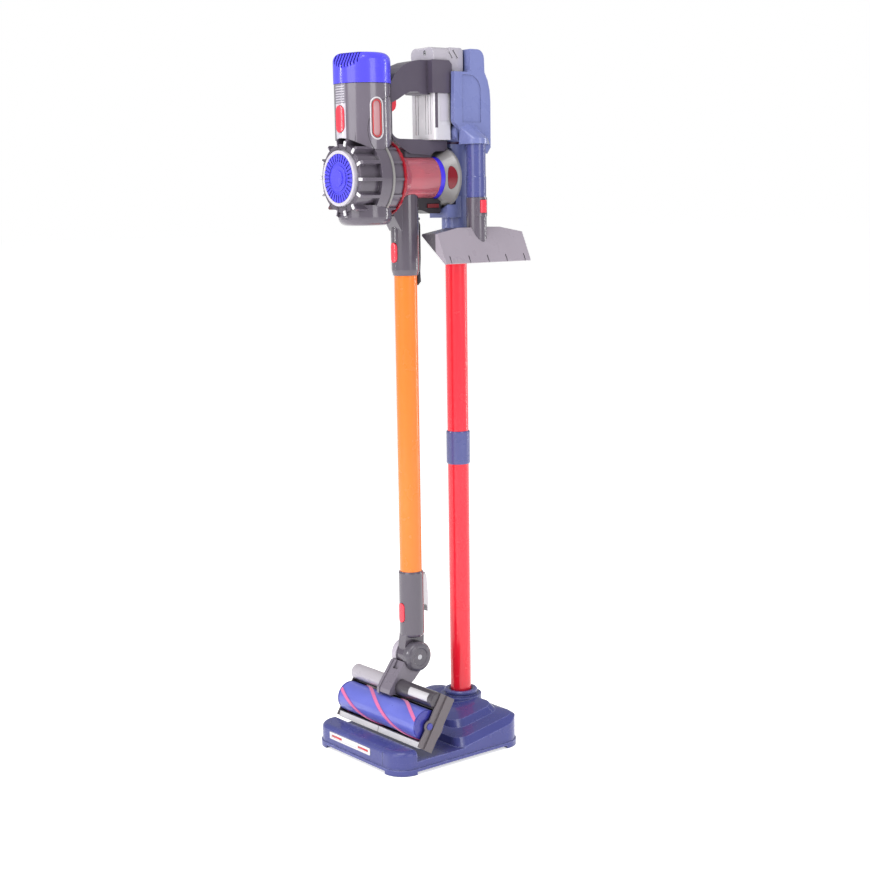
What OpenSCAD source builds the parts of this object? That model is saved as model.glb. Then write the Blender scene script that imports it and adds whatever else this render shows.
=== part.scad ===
// Toy stick vacuum cleaner standing in its storage stand, with a wide nozzle on the dock's peg.
// Millimetres, Z up, X across the front, the front faces -Y.
// The origin is on the ground, under the middle of the stand's base.

/* [Stand] */
// Overall height, ground to the top of the battery case
total_h = 803; // [795:1:815]
// Width of the base
base_w = 170; // [166:1:180]
// Depth of the base
base_d = 190; // [184:1:200]
// Radius of the base's corners in plan
base_r = 25; // [20:1:30]
// Height of the deck that the cleaner head hangs over
deck_h = 15; // [12:0.5:16]
// Height of the front lip
lip_h = 28; // [24:0.5:30]
// Depth of the front lip, front to rear
lip_d = 28; // [24:1:29]
// Outside diameter of the pole
pole_dia = 25; // [24:0.5:26]
// Distance of the pole behind the middle of the base
pole_y = 67; // [66:0.5:68]

/* [Wand and collars] */
// Outside diameter of the wand
wand_dia = 26; // [25:0.5:27]
// Distance of the wand in front of the middle of the base
wand_front = 7; // [6:0.5:8]
// Outside diameter of the upper collar
inlet_dia = 31.5; // [30.5:0.5:33]
// Outside diameter of the lower collar
collar_dia = 29.5; // [29:0.5:31]

/* [Hand unit] */
// Height from the dust bin's axis up to the top of the battery case
unit_h = 140; // [136:1:142]
// Outside diameter of the motor housing
housing_dia = 61; // [58:1:62]
// Outside diameter over the cyclone's fins
drum_dia = 84; // [80:1:85]
// Outside diameter of the clear dust bin
bin_dia = 47; // [45:1:48]
// Number of fins round the cyclone drum
fin_count = 14; // [10:1:16]
// Width of the handle
grip_w = 26; // [22:1:28]
// Width of the battery case
battery_w = 40; // [38:1:41]
// Depth of the battery case
battery_d = 24; // [23:0.5:25]
// Height of the sleeve round the battery case, under its shoulder
sleeve_h = 35; // [30:1:38]

/* [Cleaner head] */
// Width of the head over its end plates
head_w = 164; // [158:1:165]
// Diameter of the roller
roller_dia = 38; // [36:1:39]
// Lean of the head back from upright, in degrees
head_lean = 31.8; // [31:0.2:33]
// Number of bristle strips wound round the roller
strip_count = 3; // [2:1:4]

/* [Wide nozzle] */
// Length of the nozzle's mouth
mouth_w = 125; // [115:1:130]
// Outside diameter of the nozzle's neck
nozzle_dia = 23; // [22.5:0.5:24]
// Number of notches along the mouth
notch_count = 5; // [3:1:7]

/* [Hidden] */
$fn = 64;
gap = 0.3;      // clearance between parts of different bodies
fit = 0.05;     // running and sliding clearance, on the radius

blue = [0.30, 0.33, 0.66];
violet = [0.38, 0.34, 0.95];
red = [0.93, 0.20, 0.26];
orange = [1.0, 0.56, 0.22];
dark = [0.36, 0.34, 0.38];
black = [0.13, 0.12, 0.14];
grey = [0.62, 0.60, 0.63];
silver = [0.83, 0.82, 0.82];
clear_red = [0.92, 0.36, 0.38, 0.8];
clear_blue = [0.36, 0.45, 0.92, 0.8];

pole_r = pole_dia / 2;
wand_r = wand_dia / 2;
wand_y = -wand_front;
inlet_r = inlet_dia / 2;
collar_r = collar_dia / 2;
housing_r = housing_dia / 2;
drum_r = drum_dia / 2;
bin_r = bin_dia / 2;
roller_r = roller_dia / 2;

flange_h = 7;             // top of the base's foot flange
arch_h = 3.5;             // rise of the base's edge between its feet
base_in = 1.5;            // the base's wall stands in from the flange
cover_t = 3;              // thickness of the base's bottom cover
socket_z = 18;            // bottom of the pole's socket
rim_z = 56;               // top of the socket's rim
tier_lean = 10;           // slope of the pedestal's tiers, in degrees

coupler_z = 334;          // bottom of the pole coupler
coupler_h = 39;
joint_z = coupler_z + coupler_h / 2;

// Heights in the hand unit and the dock are over the dust bin's axis
bin_h = total_h - unit_h; // the axis, over the ground
pole_top = 43;
dock_x = 30;              // half the width of the dock
cheek_y = 43;             // front edge of the dock's cheeks
cheek_z = unit_h - 26;    // top edge of the cheeks
dock_y = 66;              // front face of the dock's rear wall
roll_at = 56.5;           // axis of the cross roll that carries the battery case
roll_h = 49;              // height of that axis
cross_r = 10;
dock_top = unit_h - 1.5;
sleeve_r = pole_r + 3.5;
arm_z = 36;               // underside of the arm that carries the peg

peg_x = 40;
peg_y = pole_y - 2.5;
peg_foot = -22;           // where the nozzle's neck meets the peg's shoulder
spigot_r = 9;

housing_y = -61.5;
housing_top = unit_h - 41.5;
cap_top = unit_h - 9.5;
motor_z = 46;             // floor that the motor stands on
motor_r = 18;
button_z = 62;            // middle of the power button and the side badges
drum_front = -93;
drum_back = -37;
flare_y = -36;            // front rim of the bin's flare
bin_y1 = 27.5;            // end of the clear bin
disc_y = 45;              // front face of the bin's end disc
battery_y = 21.5;         // front face of the battery case
battery_z = 41;           // bottom of the battery case
handle_top = unit_h - 14;
sleeve_z = handle_top - sleeve_h;
cell_r = 5.25;            // size AAA cells
cell_h = 44.5;

inlet_z = -106.5;         // bottom of the upper collar
inlet_mid = inlet_z + 25.5;   // middle of its release button
wand_up = inlet_z + 41.5; // top end of the wand inside the upper collar
collar_top = 215;         // top of the lower collar
collar_low = 146;         // bottom of the lower collar
wand_low = 172;           // bottom end of the wand inside the lower collar

hinge_y = -9;             // axis of the head's tilting joint
hinge_z = 113;
drum_w = 36;              // width of the joint's drum
hinge_r = 18;
tongue_w = 13;
roll_y = -46;             // axis of the roller
roll_z = 51.5;

hood_low = -72;           // lip of the wide nozzle, under the peg's shoulder

// Shapes that repeat

// A flat rectangle with round corners
module round_rect(w, d, r) {
  square([w - 2 * r, d], center = true);
  square([w, d - 2 * r], center = true);
  for (x = [-1, 1], y = [-1, 1]) translate([x * (w / 2 - r), y * (d / 2 - r)]) circle(r);
}

// A flat slot with round ends, standing along Y
module slot_shape(w, h) {
  square([w, h - w], center = true);
  for (y = [-1, 1]) translate([0, y * (h - w) / 2]) circle(w / 2);
}

// Extrudes a drawing whose axes are Y and Z along X, from x0 to x1
module side(x0, x1) {
  translate([x0, 0, 0]) rotate([90, 0, 90]) linear_extrude(x1 - x0) children();
}

// A tube standing on Z
module tube(r_out, r_in, h) {
  difference() {
    cylinder(r = r_out, h = h);
    translate([0, 0, -1]) cylinder(r = r_in, h = h + 2);
  }
}

// Lifts what is drawn over the dust bin's axis to its height
module unit() {
  translate([0, 0, bin_h]) children();
}

// Places children round the bin's axis, which runs along +Y, from y on
module on_bin(y = 0) {
  translate([0, y, 0]) rotate([-90, 0, 0]) children();
}

// A ring round the bin's axis, from y0 to y1
module bin_ring(r_out, r_in, y0, y1) {
  on_bin(y0) tube(r_out, r_in, y1 - y0);
}

// The bin's flare and body as a solid, grown all round by c
module bin_form(c) {
  on_bin() rotate_extrude() polygon([[0, -60], [drum_r + c, -60], [drum_r + c, flare_y + 1.5 + c],
    [bin_r + 2.4 + c, flare_y + 16 + c], [bin_r + c, flare_y + 22 + c], [bin_r + c, 60], [0, 60]]);
}

// The cap at the bin's rear end as a solid, grown all round by c
module cap_form(c) {
  on_bin(bin_y1 + 6.1 - c) rotate_extrude() polygon([[0, 0], [bin_r + 0.8 + c, 0],
    [33 + c, disc_y + 1.5 - bin_y1 - 6.1], [33 + c, disc_y + 4.5 - bin_y1 - 6.1 + 2 * c],
    [31 + c, disc_y + 6.5 - bin_y1 - 6.1 + 2 * c], [0, disc_y + 6.5 - bin_y1 - 6.1 + 2 * c]]);
}

// Points of an arc, in degrees
function arc(cx, cy, r, a0, a1, n = 12) =
  [for (i = [0:n]) let (a = a0 + (a1 - a0) * i / n) [cx + r * cos(a), cy + r * sin(a)]];

// A pan-head screw that points along -Z from its head's underside
module screw(r = 1.5, head_r = 3, h = 9) {
  translate([0, 0, -h]) cylinder(r = r, h = h, $fn = 24);
  difference() {
    cylinder(r = head_r, h = 1.8, $fn = 32);
    for (a = [0, 90]) rotate(a) translate([-2, -0.4, 1]) cube([4, 0.8, 2]);
  }
}

// Stand

module base_outline(inset = 0) {
  round_rect(base_w - 2 * inset, base_d - 2 * inset, base_r - inset);
}

// A thin plate with round corners in the pedestal's tilted frame
module plate(w, y0, y1, z, r) {
  translate([0, (y0 + y1) / 2, z]) linear_extrude(0.01) round_rect(w, y1 - y0, r, $fn = 32);
}

// The pedestal's tiers, which rise toward the rear: two sloped risers, each with a tread above
module pedestal() {
  translate([0, -4, deck_h]) rotate([tier_lean, 0, 0]) {
    translate([0, 55, -24]) linear_extrude(24) round_rect(base_w + 6, 110, 22);
    hull() {
      plate(base_w - 3, 1, 101, -0.01, 14);
      plate(base_w - 17, 6, 94, 8, 14);
    }
    hull() {
      plate(base_w - 17, 6, 94, 8, 14);
      plate(base_w - 50, 17, 86, 11, 16);
    }
    hull() {
      plate(base_w - 50, 17, 86, 11, 16);
      plate(base_w - 62, 21, 83, 18.5, 16);
    }
    hull() {
      plate(base_w - 62, 21, 83, 18.5, 16);
      plate(base_w - 92, 34, 80, 20.5, 14);
    }
  }
}

module front_lip() {
  cr = base_r - base_in;
  round_r = 6;
  intersection() {
    hull() for (s = [-1, 1]) translate([s * (base_w / 2 - base_r), -base_d / 2 + base_r, 0])
      rotate_extrude($fn = 48) polygon(concat([[0, flange_h]], [[cr, flange_h]],
        arc(cr - round_r, lip_h - round_r, round_r, 0, 90, 5), [[0, lip_h]]));
    translate([-base_w, -base_d / 2, 0]) cube([2 * base_w, lip_d, 60]);
  }
}

module stand_base() color(blue) difference() {
  union() {
    linear_extrude(flange_h) base_outline();
    linear_extrude(deck_h) base_outline(base_in);
    front_lip();
    intersection() {
      linear_extrude(120) base_outline(base_in);
      pedestal();
    }
    translate([0, pole_y, 0]) {
      cylinder(r = 25, h = rim_z - 6.5);
      rotate_extrude() polygon([[0, 30], [19.2, 30], [19.2, rim_z - 5], [20, rim_z - 3.5],
        [20, rim_z - 1], [19, rim_z], [0, rim_z]]);
    }
  }
  // Arches between the corner feet
  translate([0, 0, -1]) linear_extrude(arch_h + 1) {
    square([base_w - 2 * base_r - 4, base_d + 10], center = true);
    square([base_w + 10, base_d - 2 * base_r - 4], center = true);
  }
  // Hollow under the deck, round the socket's boss
  difference() {
    translate([0, 0, -1]) {
      linear_extrude(cover_t + 1.2) round_rect(base_w - 18, base_d - 18, base_r - 9);
      linear_extrude(deck_h - 2.5 + 1) round_rect(base_w - 24, base_d - 24, base_r - 12);
      translate([0, -4, deck_h + 1]) rotate([tier_lean, 0, 0]) translate([-46, 26, -12]) cube([92, 50, 26]);
      translate([-66, -base_d / 2 + 8, 0]) cube([132, lip_d - 12, lip_h - 2]);
    }
    translate([0, pole_y, cover_t + 0.2]) cylinder(r = 17, h = 60);
    for (x = [-1, 1], y = [-1, 1]) translate([x * 55, y * 66, cover_t + 0.2]) cylinder(r = 4, h = 60);
  }
  // Socket of the pole
  translate([0, pole_y, socket_z]) cylinder(r = pole_r + fit, h = 60);
  translate([0, pole_y, rim_z - 2.5]) cylinder(r1 = pole_r + fit, r2 = pole_r + 3, h = 2.6);
  // Seat of the label plate
  translate([-11.5, -base_d / 2 + base_in - 1, 18]) rotate([-90, 0, 0])
    linear_extrude(2) round_rect(81, 9, 1.5);
  // Screw holes of the bottom cover
  for (x = [-1, 1], y = [-1, 1]) translate([x * 55, y * 66, 0]) cylinder(r = 1.4, h = 11, $fn = 24);
  // Upright seam where the front panel ends at the corner post
  translate([base_w / 2 - 33, -base_d / 2 - 1, flange_h + 1]) cube([0.8, base_in + 2, lip_h]);
}

module base_cover() color(blue) difference() {
  linear_extrude(cover_t) round_rect(base_w - 18.4, base_d - 18.4, base_r - 9.2);
  for (x = [-1, 1], y = [-1, 1]) {
    translate([x * 55, y * 66, -1]) cylinder(r = 1.7, h = 10, $fn = 24);
    translate([x * 55, y * 66, -1]) cylinder(r = 3.3, h = 3, $fn = 32);
    translate([x * 62, y * 50, -1]) cylinder(r = 8.1, h = 2.8);
  }
}

module base_pads() color(black) for (x = [-1, 1], y = [-1, 1])
  translate([x * 62, y * 50, 0]) cylinder(r = 8, h = 1.8);

module base_screws() color(silver) for (x = [-1, 1], y = [-1, 1])
  translate([x * 55, y * 66, 2]) rotate([180, 0, 0]) screw(1.35, 3, 8.5);

module label_plate() color(silver) translate([-11.5, -base_d / 2 + base_in - 0.4, 18])
  rotate([-90, 0, 0]) difference() {
    linear_extrude(1.4) round_rect(80.6, 8.6, 1.3);
    translate([0, 0, -1]) linear_extrude(1.3) round_rect(76, 4.6, 1);
  }

module lower_pole() color(red) translate([0, pole_y, socket_z])
  tube(pole_r, pole_r - 1.5, joint_z - socket_z - 1);

module pole_coupler() color(blue) translate([0, pole_y, 0]) {
  difference() {
    translate([0, 0, coupler_z]) rotate_extrude() polygon([[0, 0], [pole_r + 0.9, 0],
      [pole_r + 1.5, 1.5], [pole_r + 1.5, coupler_h - 1.5], [pole_r + 0.9, coupler_h], [0, coupler_h]]);
    translate([0, 0, coupler_z - 1]) cylinder(r = pole_r + fit, h = coupler_h + 2);
  }
  translate([0, 0, coupler_z - 12]) tube(pole_r - 1.5 - fit, pole_r - 4, coupler_h + 24);
  // Web between the two lengths of pole
  translate([0, 0, joint_z - 0.95]) tube(pole_r + 1, pole_r - 4, 1.9);
}

module upper_pole() color(red) translate([0, pole_y, joint_z + 1])
  tube(pole_r, pole_r - 1.5, bin_h + pole_top - joint_z - 1);

// Outline of the dock's side, drawn in Y and Z
function dock_outline() = concat(
  [[cheek_y, cheek_z], [dock_y - 2, cheek_z], [dock_y, cheek_z + 2], [dock_y, dock_top]],
  arc(76, dock_top - 10, 10, 90, 0, 8),
  [[86.6, cheek_z], [91, cheek_z - 8], [94, cheek_z - 19], [95, cheek_z - 31], [95, 33], [90, 26],
   [80, 27], [68, 39], [54, 46]], arc(cheek_y + 6, 63, 7, 250, 180, 5));

module dock_shell() color(blue) unit() difference() {
  union() {
    difference() {
      side(-dock_x, dock_x) polygon(dock_outline());
      // Space between the cheeks for the battery case
      side(-battery_w / 2 - 4, battery_w / 2 + 4) polygon([[0, 17], [roll_at, 17], [roll_at, roll_h],
        [dock_y, roll_h], [dock_y, unit_h + 20], [0, unit_h + 20]]);
      // Hollow of the rear wall
      side(-dock_x + 3, dock_x - 3) polygon([[dock_y + 3, 65], [91, 65], [90, cheek_z - 25],
        [84, cheek_z - 5], [82, dock_top - 8], [dock_y + 3, dock_top - 6]]);
      // Sunk panels on the cheeks' outer sides
      for (s = [-1, 1]) side(s * dock_x - 1, s * dock_x + 1) polygon(concat(
        [[cheek_y + 11, 60], [cheek_y + 11, cheek_z - 3]], arc(64, cheek_z - 20, 17, 90, 0, 8), [[81, 60]]));
    }
    // Sleeve on the pole
    translate([0, pole_y, -63]) cylinder(r = sleeve_r, h = 100);
    // Cross roll that the battery case stands on
    translate([-26, roll_at, roll_h]) rotate([0, 90, 0]) cylinder(r = cross_r, h = 52);
    // Cradle under the bin's end
    translate([-16, 42, -44]) cube([32, 20, 24]);
    // Shoulder that flares out over the peg
    hull() {
      side(dock_x - 2, dock_x) polygon([[51, 54], [61, 58.5], [72, 57], [91, 43], [94, arm_z], [50, arm_z]]);
      translate([peg_x, peg_y, arm_z]) cylinder(r = 12.8, h = 6, $fn = 32);
    }
  }
  // Bore of the sleeve
  translate([0, pole_y, -73]) cylinder(r = pole_r + fit, h = pole_top + 73.2);
  // Room for the bin's cap, its end disc and the bin
  on_bin(disc_y - 12) cylinder(r = 33.6, h = 21.5);
  on_bin(10) cylinder(r = bin_r + 4, h = 30);
  // Seat of the peg
  translate([peg_x, peg_y, arm_z - 9]) cylinder(r = 8 + fit, h = 15.3);
  // Screw holes in the rear wall
  for (z = [77, unit_h - 18]) translate([0, 70, z]) rotate([-90, 0, 0]) cylinder(r = 1.6, h = 40, $fn = 24);
}

module tool_peg() color(blue) translate([peg_x, peg_y, bin_h + peg_foot]) {
  translate([0, 0, -41]) cylinder(r = spigot_r, h = 60);
  rotate_extrude() polygon([[0, 0], [11.2, 0], [11.2, 22], [10.8, 23],
    [10.8, arm_z - peg_foot - gap], [0, arm_z - peg_foot - gap]]);
  translate([0, 0, arm_z - peg_foot - 9]) cylinder(r = 8, h = 15);
}

module dock_screws() color(silver) unit() {
  translate([0, 95.05, 77]) rotate([-90, 0, 0]) screw(1.55, 3.2, 16);
  translate([0, 86.5, unit_h - 18]) rotate([-90, 0, 0]) screw(1.55, 3.2, 16);
}

// Hand unit

module motor_housing() color(dark) unit() difference() {
  translate([0, housing_y, 5]) cylinder(r = housing_r, h = housing_top - 5);
  difference() {
    translate([0, housing_y, motor_z]) cylinder(r = housing_r - 3, h = housing_top);
    // Seat ring of the motor
    translate([0, housing_y, motor_z - 1]) tube(motor_r + 2, motor_r + fit, 7);
  }
  on_bin(drum_front - 10) cylinder(r = drum_r + 0.2, h = 120);
  // Seat of the front strip
  intersection() {
    translate([0, housing_y, 0]) tube(housing_r + 1, housing_r - 1.5, housing_top + 20);
    translate([-9, -120, 0]) cube([18, 40, housing_top + 30]);
  }
  // Seats of the side badges
  for (s = [-1, 1]) translate([s * housing_r, housing_y - 3, button_z]) rotate([90, 0, 90])
    linear_extrude(14, center = true) slot_shape(16, 44);
  // Hole of the power button
  translate([0, -80, button_z]) rotate([90, 0, 0]) linear_extrude(30) slot_shape(14.6, 28.6);
  // Panel lines, straight beside the strip and curved like a leaf round the badges
  intersection() {
    translate([0, housing_y, 0]) tube(housing_r + 1, housing_r - 0.8, housing_top);
    for (s = [-1, 1]) {
      translate([s * 13, housing_y, 37]) rotate([0, s * 6, s * 12]) translate([-0.4, -housing_r - 2, -40])
        cube([0.8, 8, 120]);
      translate([s * 20, housing_y + 22, 50]) rotate([90, 0, 90]) difference() {
        cylinder(r = 36, h = 30, center = true);
        cylinder(r = 35.2, h = 31, center = true);
        translate([0, -40, -16]) cube([60, 80, 32]);
        translate([-60, -60, -16]) cube([61, 40, 32]);
      }
    }
  }
}

module front_strip() color(silver) unit() difference() {
  intersection() {
    translate([0, housing_y, 21]) tube(housing_r, housing_r - 1.4, housing_top - 21);
    translate([-8.9, -120, 17]) cube([17.8, 40, housing_top + 30]);
  }
  on_bin(drum_front - 10) cylinder(r = drum_r + 0.2, h = 120);
  translate([0, -80, button_z]) rotate([90, 0, 0]) linear_extrude(30) slot_shape(14.6, 28.6);
}

module power_button() color(red) unit() intersection() {
  translate([0, -85, button_z]) rotate([90, 0, 0]) linear_extrude(20) slot_shape(14, 28);
  translate([0, housing_y, button_z - 25]) tube(housing_r + 1.2, housing_r - 6, 50);
}

module side_badges() color(red) unit() for (s = [-1, 1]) intersection() {
  translate([s * housing_r, housing_y - 3, button_z]) rotate([90, 0, 90])
    linear_extrude(20, center = true) slot_shape(15.6, 43.6);
  translate([0, housing_y, button_z - 35]) tube(housing_r - 1.2, housing_r - 2.6, 70);
  translate([s * 40, housing_y, button_z]) cube([70, 80, 90], center = true);
}

module filter_cap() color(violet) unit() difference() {
  translate([0, housing_y, 0]) rotate_extrude() polygon(concat([[0, housing_top + 0.4],
    [housing_r + 0.6, housing_top + 0.4]],
    arc(housing_r - 8.4, cap_top - 9, 9, 0, 90, 8), [[0, cap_top]]));
  translate([0, housing_y, housing_top]) cylinder(r = housing_r - 3, h = 20);
  // Slanted front face and its vents
  translate([0, housing_y, 0]) rotate([0, 0, 14]) {
    translate([0, -housing_r - 2.4, cap_top - 15]) rotate([45, 0, 0])
      translate([-40, -40, 0]) cube([80, 60, 40]);
    for (i = [-4:4]) translate([i * 4, -housing_r + 4.5, cap_top - 8.5]) rotate([45, 0, 0])
      rotate([0, 0, 14]) translate([-0.8, -13, -2]) cube([1.6, 26, 4]);
  }
}

module cyclone_drum() color(dark) unit() {
  difference() {
    union() {
      bin_ring(drum_r - 6, 30, drum_front + 1, -66);
      bin_ring(drum_r, 30, -68, -51.5);
      bin_ring(drum_r - 2.6, 30, -51.6, drum_back);
      for (i = [0:fin_count - 1]) rotate_fin(i) {
        rotate([90, 0, 0]) linear_extrude(3.6, center = true) polygon([[drum_r - 10, drum_front],
          [drum_r - 2, drum_front], [drum_r, drum_front + 2], [drum_r, -67], [drum_r - 10, -67]]);
        translate([drum_r - 6, -1.4, -52]) cube([5, 2.8, 52 + drum_back - 0.5]);
      }
      // Round pan below the drum
      translate([0, housing_y, -drum_r - 8.5]) rotate_extrude() polygon(concat(
        [[0, 0]], arc(housing_r - 10, 9, 9, -90, 0, 6), [[housing_r - 1, 22], [0, 22]]));
    }
    on_bin(drum_front - 2) cylinder(r = 30.45, h = 70);
    translate([-50, drum_back, -63]) cube([100, 20, 40]);
  }
  // Rear wall with the way into the bin
  bin_ring(34, 18, -41, drum_back);
}

// Places a fin drawn along +X and +Z, turned to its place round the drum
module rotate_fin(i) {
  on_bin(0) rotate([0, 0, (i + 0.1) * 360 / fin_count]) children();
}

module fin_tips() color(silver) unit() for (i = [0:fin_count - 1]) rotate_fin(i)
  translate([drum_r - 7.5, -1.5, drum_front - 1.2]) cube([5.4, 3, 1.2]);

module seam_ring() color(grey) unit() difference() {
  bin_ring(drum_r + 1.2, drum_r + 0.01, -54, -51.5);
  // Interrupted where the motor housing and the pan pass through
  translate([0, housing_y, -63]) cylinder(r = housing_r + 0.1, h = 150);
}

module filter_ring() color(silver) unit() {
  bin_ring(29.4, 26, drum_front - 3, drum_front + 4);
  bin_ring(30.4, 28.8, drum_front + 3.9, drum_front + 12);
}

module filter_disc() color(violet) unit() {
  difference() {
    on_bin(drum_front - 3.4) cylinder(r = 25.8, h = 9);
    for (i = [0:31]) on_bin(drum_front - 4.4) rotate(i * 360 / 32)
      translate([17.5, -0.9, 0]) cube([9, 1.8, 2.2]);
    on_bin(drum_front - 4.4) tube(17, 13.5, 2);
  }
  on_bin(drum_front - 4.6) cylinder(r = 8.5, h = 3);
  on_bin(drum_front + 4.1) cylinder(r = 28.7, h = 3);
}

module dust_bin() color(clear_red) unit() on_bin() rotate_extrude() polygon([
  [drum_r - 0.4, flare_y - 0.9], [drum_r - 0.4, flare_y + 1.5], [bin_r + 2.4, flare_y + 16],
  [bin_r, flare_y + 22], [bin_r, bin_y1], [bin_r - 1.8, bin_y1], [bin_r - 1.8, flare_y + 21.5],
  [bin_r + 0.2, flare_y + 15.5], [drum_r - 2.4, flare_y - 0.9]]);

module bin_mesh() color(red) unit() difference() {
  on_bin(drum_back + 0.05) rotate_extrude() polygon([[0, 0], [20, 0], [20, 2], [17, 2], [17, 30],
    [14, 48], [0, 48]]);
  on_bin(drum_back) cylinder(r = 12, h = 44);
  for (i = [0:11], j = [0:2]) on_bin(drum_back + 9 + j * 8) rotate(i * 30)
    translate([10, -2, -2.5]) cube([10, 4, 5]);
}

module bin_band() color(violet) unit() bin_ring(bin_r + 0.5, bin_r - 2, bin_y1 + 0.1, bin_y1 + 6);

module bin_cap() color(grey) unit() difference() {
  cap_form(0);
  on_bin(bin_y1 + 5) cylinder(r = bin_r - 2, h = 13);
  // Seats of the lenses on the cap's slope
  lens_form(0.2, 3);
}

// The two lenses: c is their clearance and d the depth that they reach into the cap's slope
module lens_form(c, d) intersection() {
  side(-60, 60) translate([disc_y - 5, 0]) scale([0.36, 1]) circle(12.4 + c);
  on_bin(bin_y1 + 6.1) difference() {
    cylinder(r1 = bin_r + 1.4, r2 = 33.6, h = disc_y + 1.5 - bin_y1 - 6.1);
    translate([0, 0, -0.01]) cylinder(r1 = bin_r + 0.8 - d, r2 = 33 - d, h = disc_y + 1.6 - bin_y1 - 6.1);
  }
}

module bin_lens() color(red) unit() lens_form(0, 2.6);

module bin_hinge() color(dark) unit() difference() {
  side(-9, 9) polygon([[3, -18], [38, -18], [38, -37], [36, -39], [22, -39], [10, -35], [3, -35]]);
  bin_form(0.2);
  on_bin(bin_y1) cylinder(r = bin_r + 1, h = 20);
  cap_form(0.3);
  translate([4, 18, -33]) cube([10, 17, 5]);
  translate([0, wand_y, -63]) cylinder(r = inlet_r + 0.1, h = 60);
}

module bin_release() color([0.45, 0.08, 0.1]) unit() translate([5.5, 18.4, -32.6]) cube([4.7, 16.2, 4.2]);

// Side view of the handle's arch and of the bridge over the bin, in Y and Z
function handle_outline() = concat(
  [[-32.5, unit_h - 39], [-26, unit_h - 29.5], [-19, unit_h - 23.5], [-12, unit_h - 19.2],
   [-3, unit_h - 16], [9, handle_top], [battery_y - 0.2, handle_top], [battery_y - 0.2, sleeve_z - 1.5]],
  arc(3.5, sleeve_z - 3.5, 5, 30, 90, 4),
  [[-6, unit_h - 48], [-15, unit_h - 52], [-23, unit_h - 56.5], [-30, unit_h - 59.5],
   [-32.5, unit_h - 60]]);

function bridge_outline() = concat(
  arc(-19.5, 54.5, 12.5, 180, 270, 6),
  [[10, 41.5], [battery_y - 0.3, 40.6], [47, 40.6], [47, 29], [30, 29], [22, 24.6], [-6, 26.2],
   [-20, 34], [-29, 41], [-34, 53], [-32, 61]]);

// One half of the handle, split at the middle plane
module handle_half(s) {
  w = grip_w / 2;
  x0 = s < 0 ? -w : 0.05;
  x1 = s < 0 ? -0.05 : w;
  difference() {
    union() {
      side(x0, x1) polygon(handle_outline());
      side(s < 0 ? -11 : 0.05, s < 0 ? -0.05 : 11) polygon(bridge_outline());
      // Leg that joins the arch to the bridge, behind the motor housing
      side(s < 0 ? -9.8 : 6.5, s < 0 ? -6.5 : 9.8)
        polygon([[-36, 37], [-29, 37], [-29, unit_h - 53], [-36, unit_h - 53]]);
      // Sleeve round the battery case
      side(s < 0 ? -battery_w / 2 - 2.6 : 0.05, s < 0 ? -0.05 : battery_w / 2 + 2.6)
        polygon([[battery_y - 3.5, sleeve_z], [battery_y + battery_d + 2, sleeve_z],
                 [battery_y + battery_d + 2, handle_top - 6], [battery_y + battery_d - 4, handle_top],
                 [battery_y - 3.5, handle_top]]);
    }
    // Room for the battery case
    translate([-battery_w / 2 - 0.1, battery_y - 0.1, battery_z - 0.3])
      cube([battery_w + 0.2, battery_d + 0.2, unit_h]);
    translate([-30, battery_y + battery_d + 0.1, unit_h - 26.5]) cube([60, 20, 40]);
    // Round the motor housing and the cap above it
    translate([0, housing_y, -23]) cylinder(r = housing_r + 0.1, h = unit_h - 16);
    translate([0, housing_y, housing_top]) cylinder(r = housing_r + 1, h = 60);
    // Well of the trigger
    translate([-6.4, -31, unit_h - 68]) cube([12.8, 11.2, 19]);
    // Clear of the drum, the bin and its cap
    bin_form(0.3);
    cap_form(0.4);
  }
}

module handle_left() color(dark) unit() handle_half(-1);
module handle_right() color(dark) unit() handle_half(1);

module trigger() color(red) unit() side(-6, 6) polygon([[-30.6, unit_h - 53], [-20.2, unit_h - 53],
  [-20.2, unit_h - 62], [-21.5, unit_h - 66], [-25, unit_h - 68.8], [-29, unit_h - 68.4],
  [-30.6, unit_h - 65.5]]);

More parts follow.
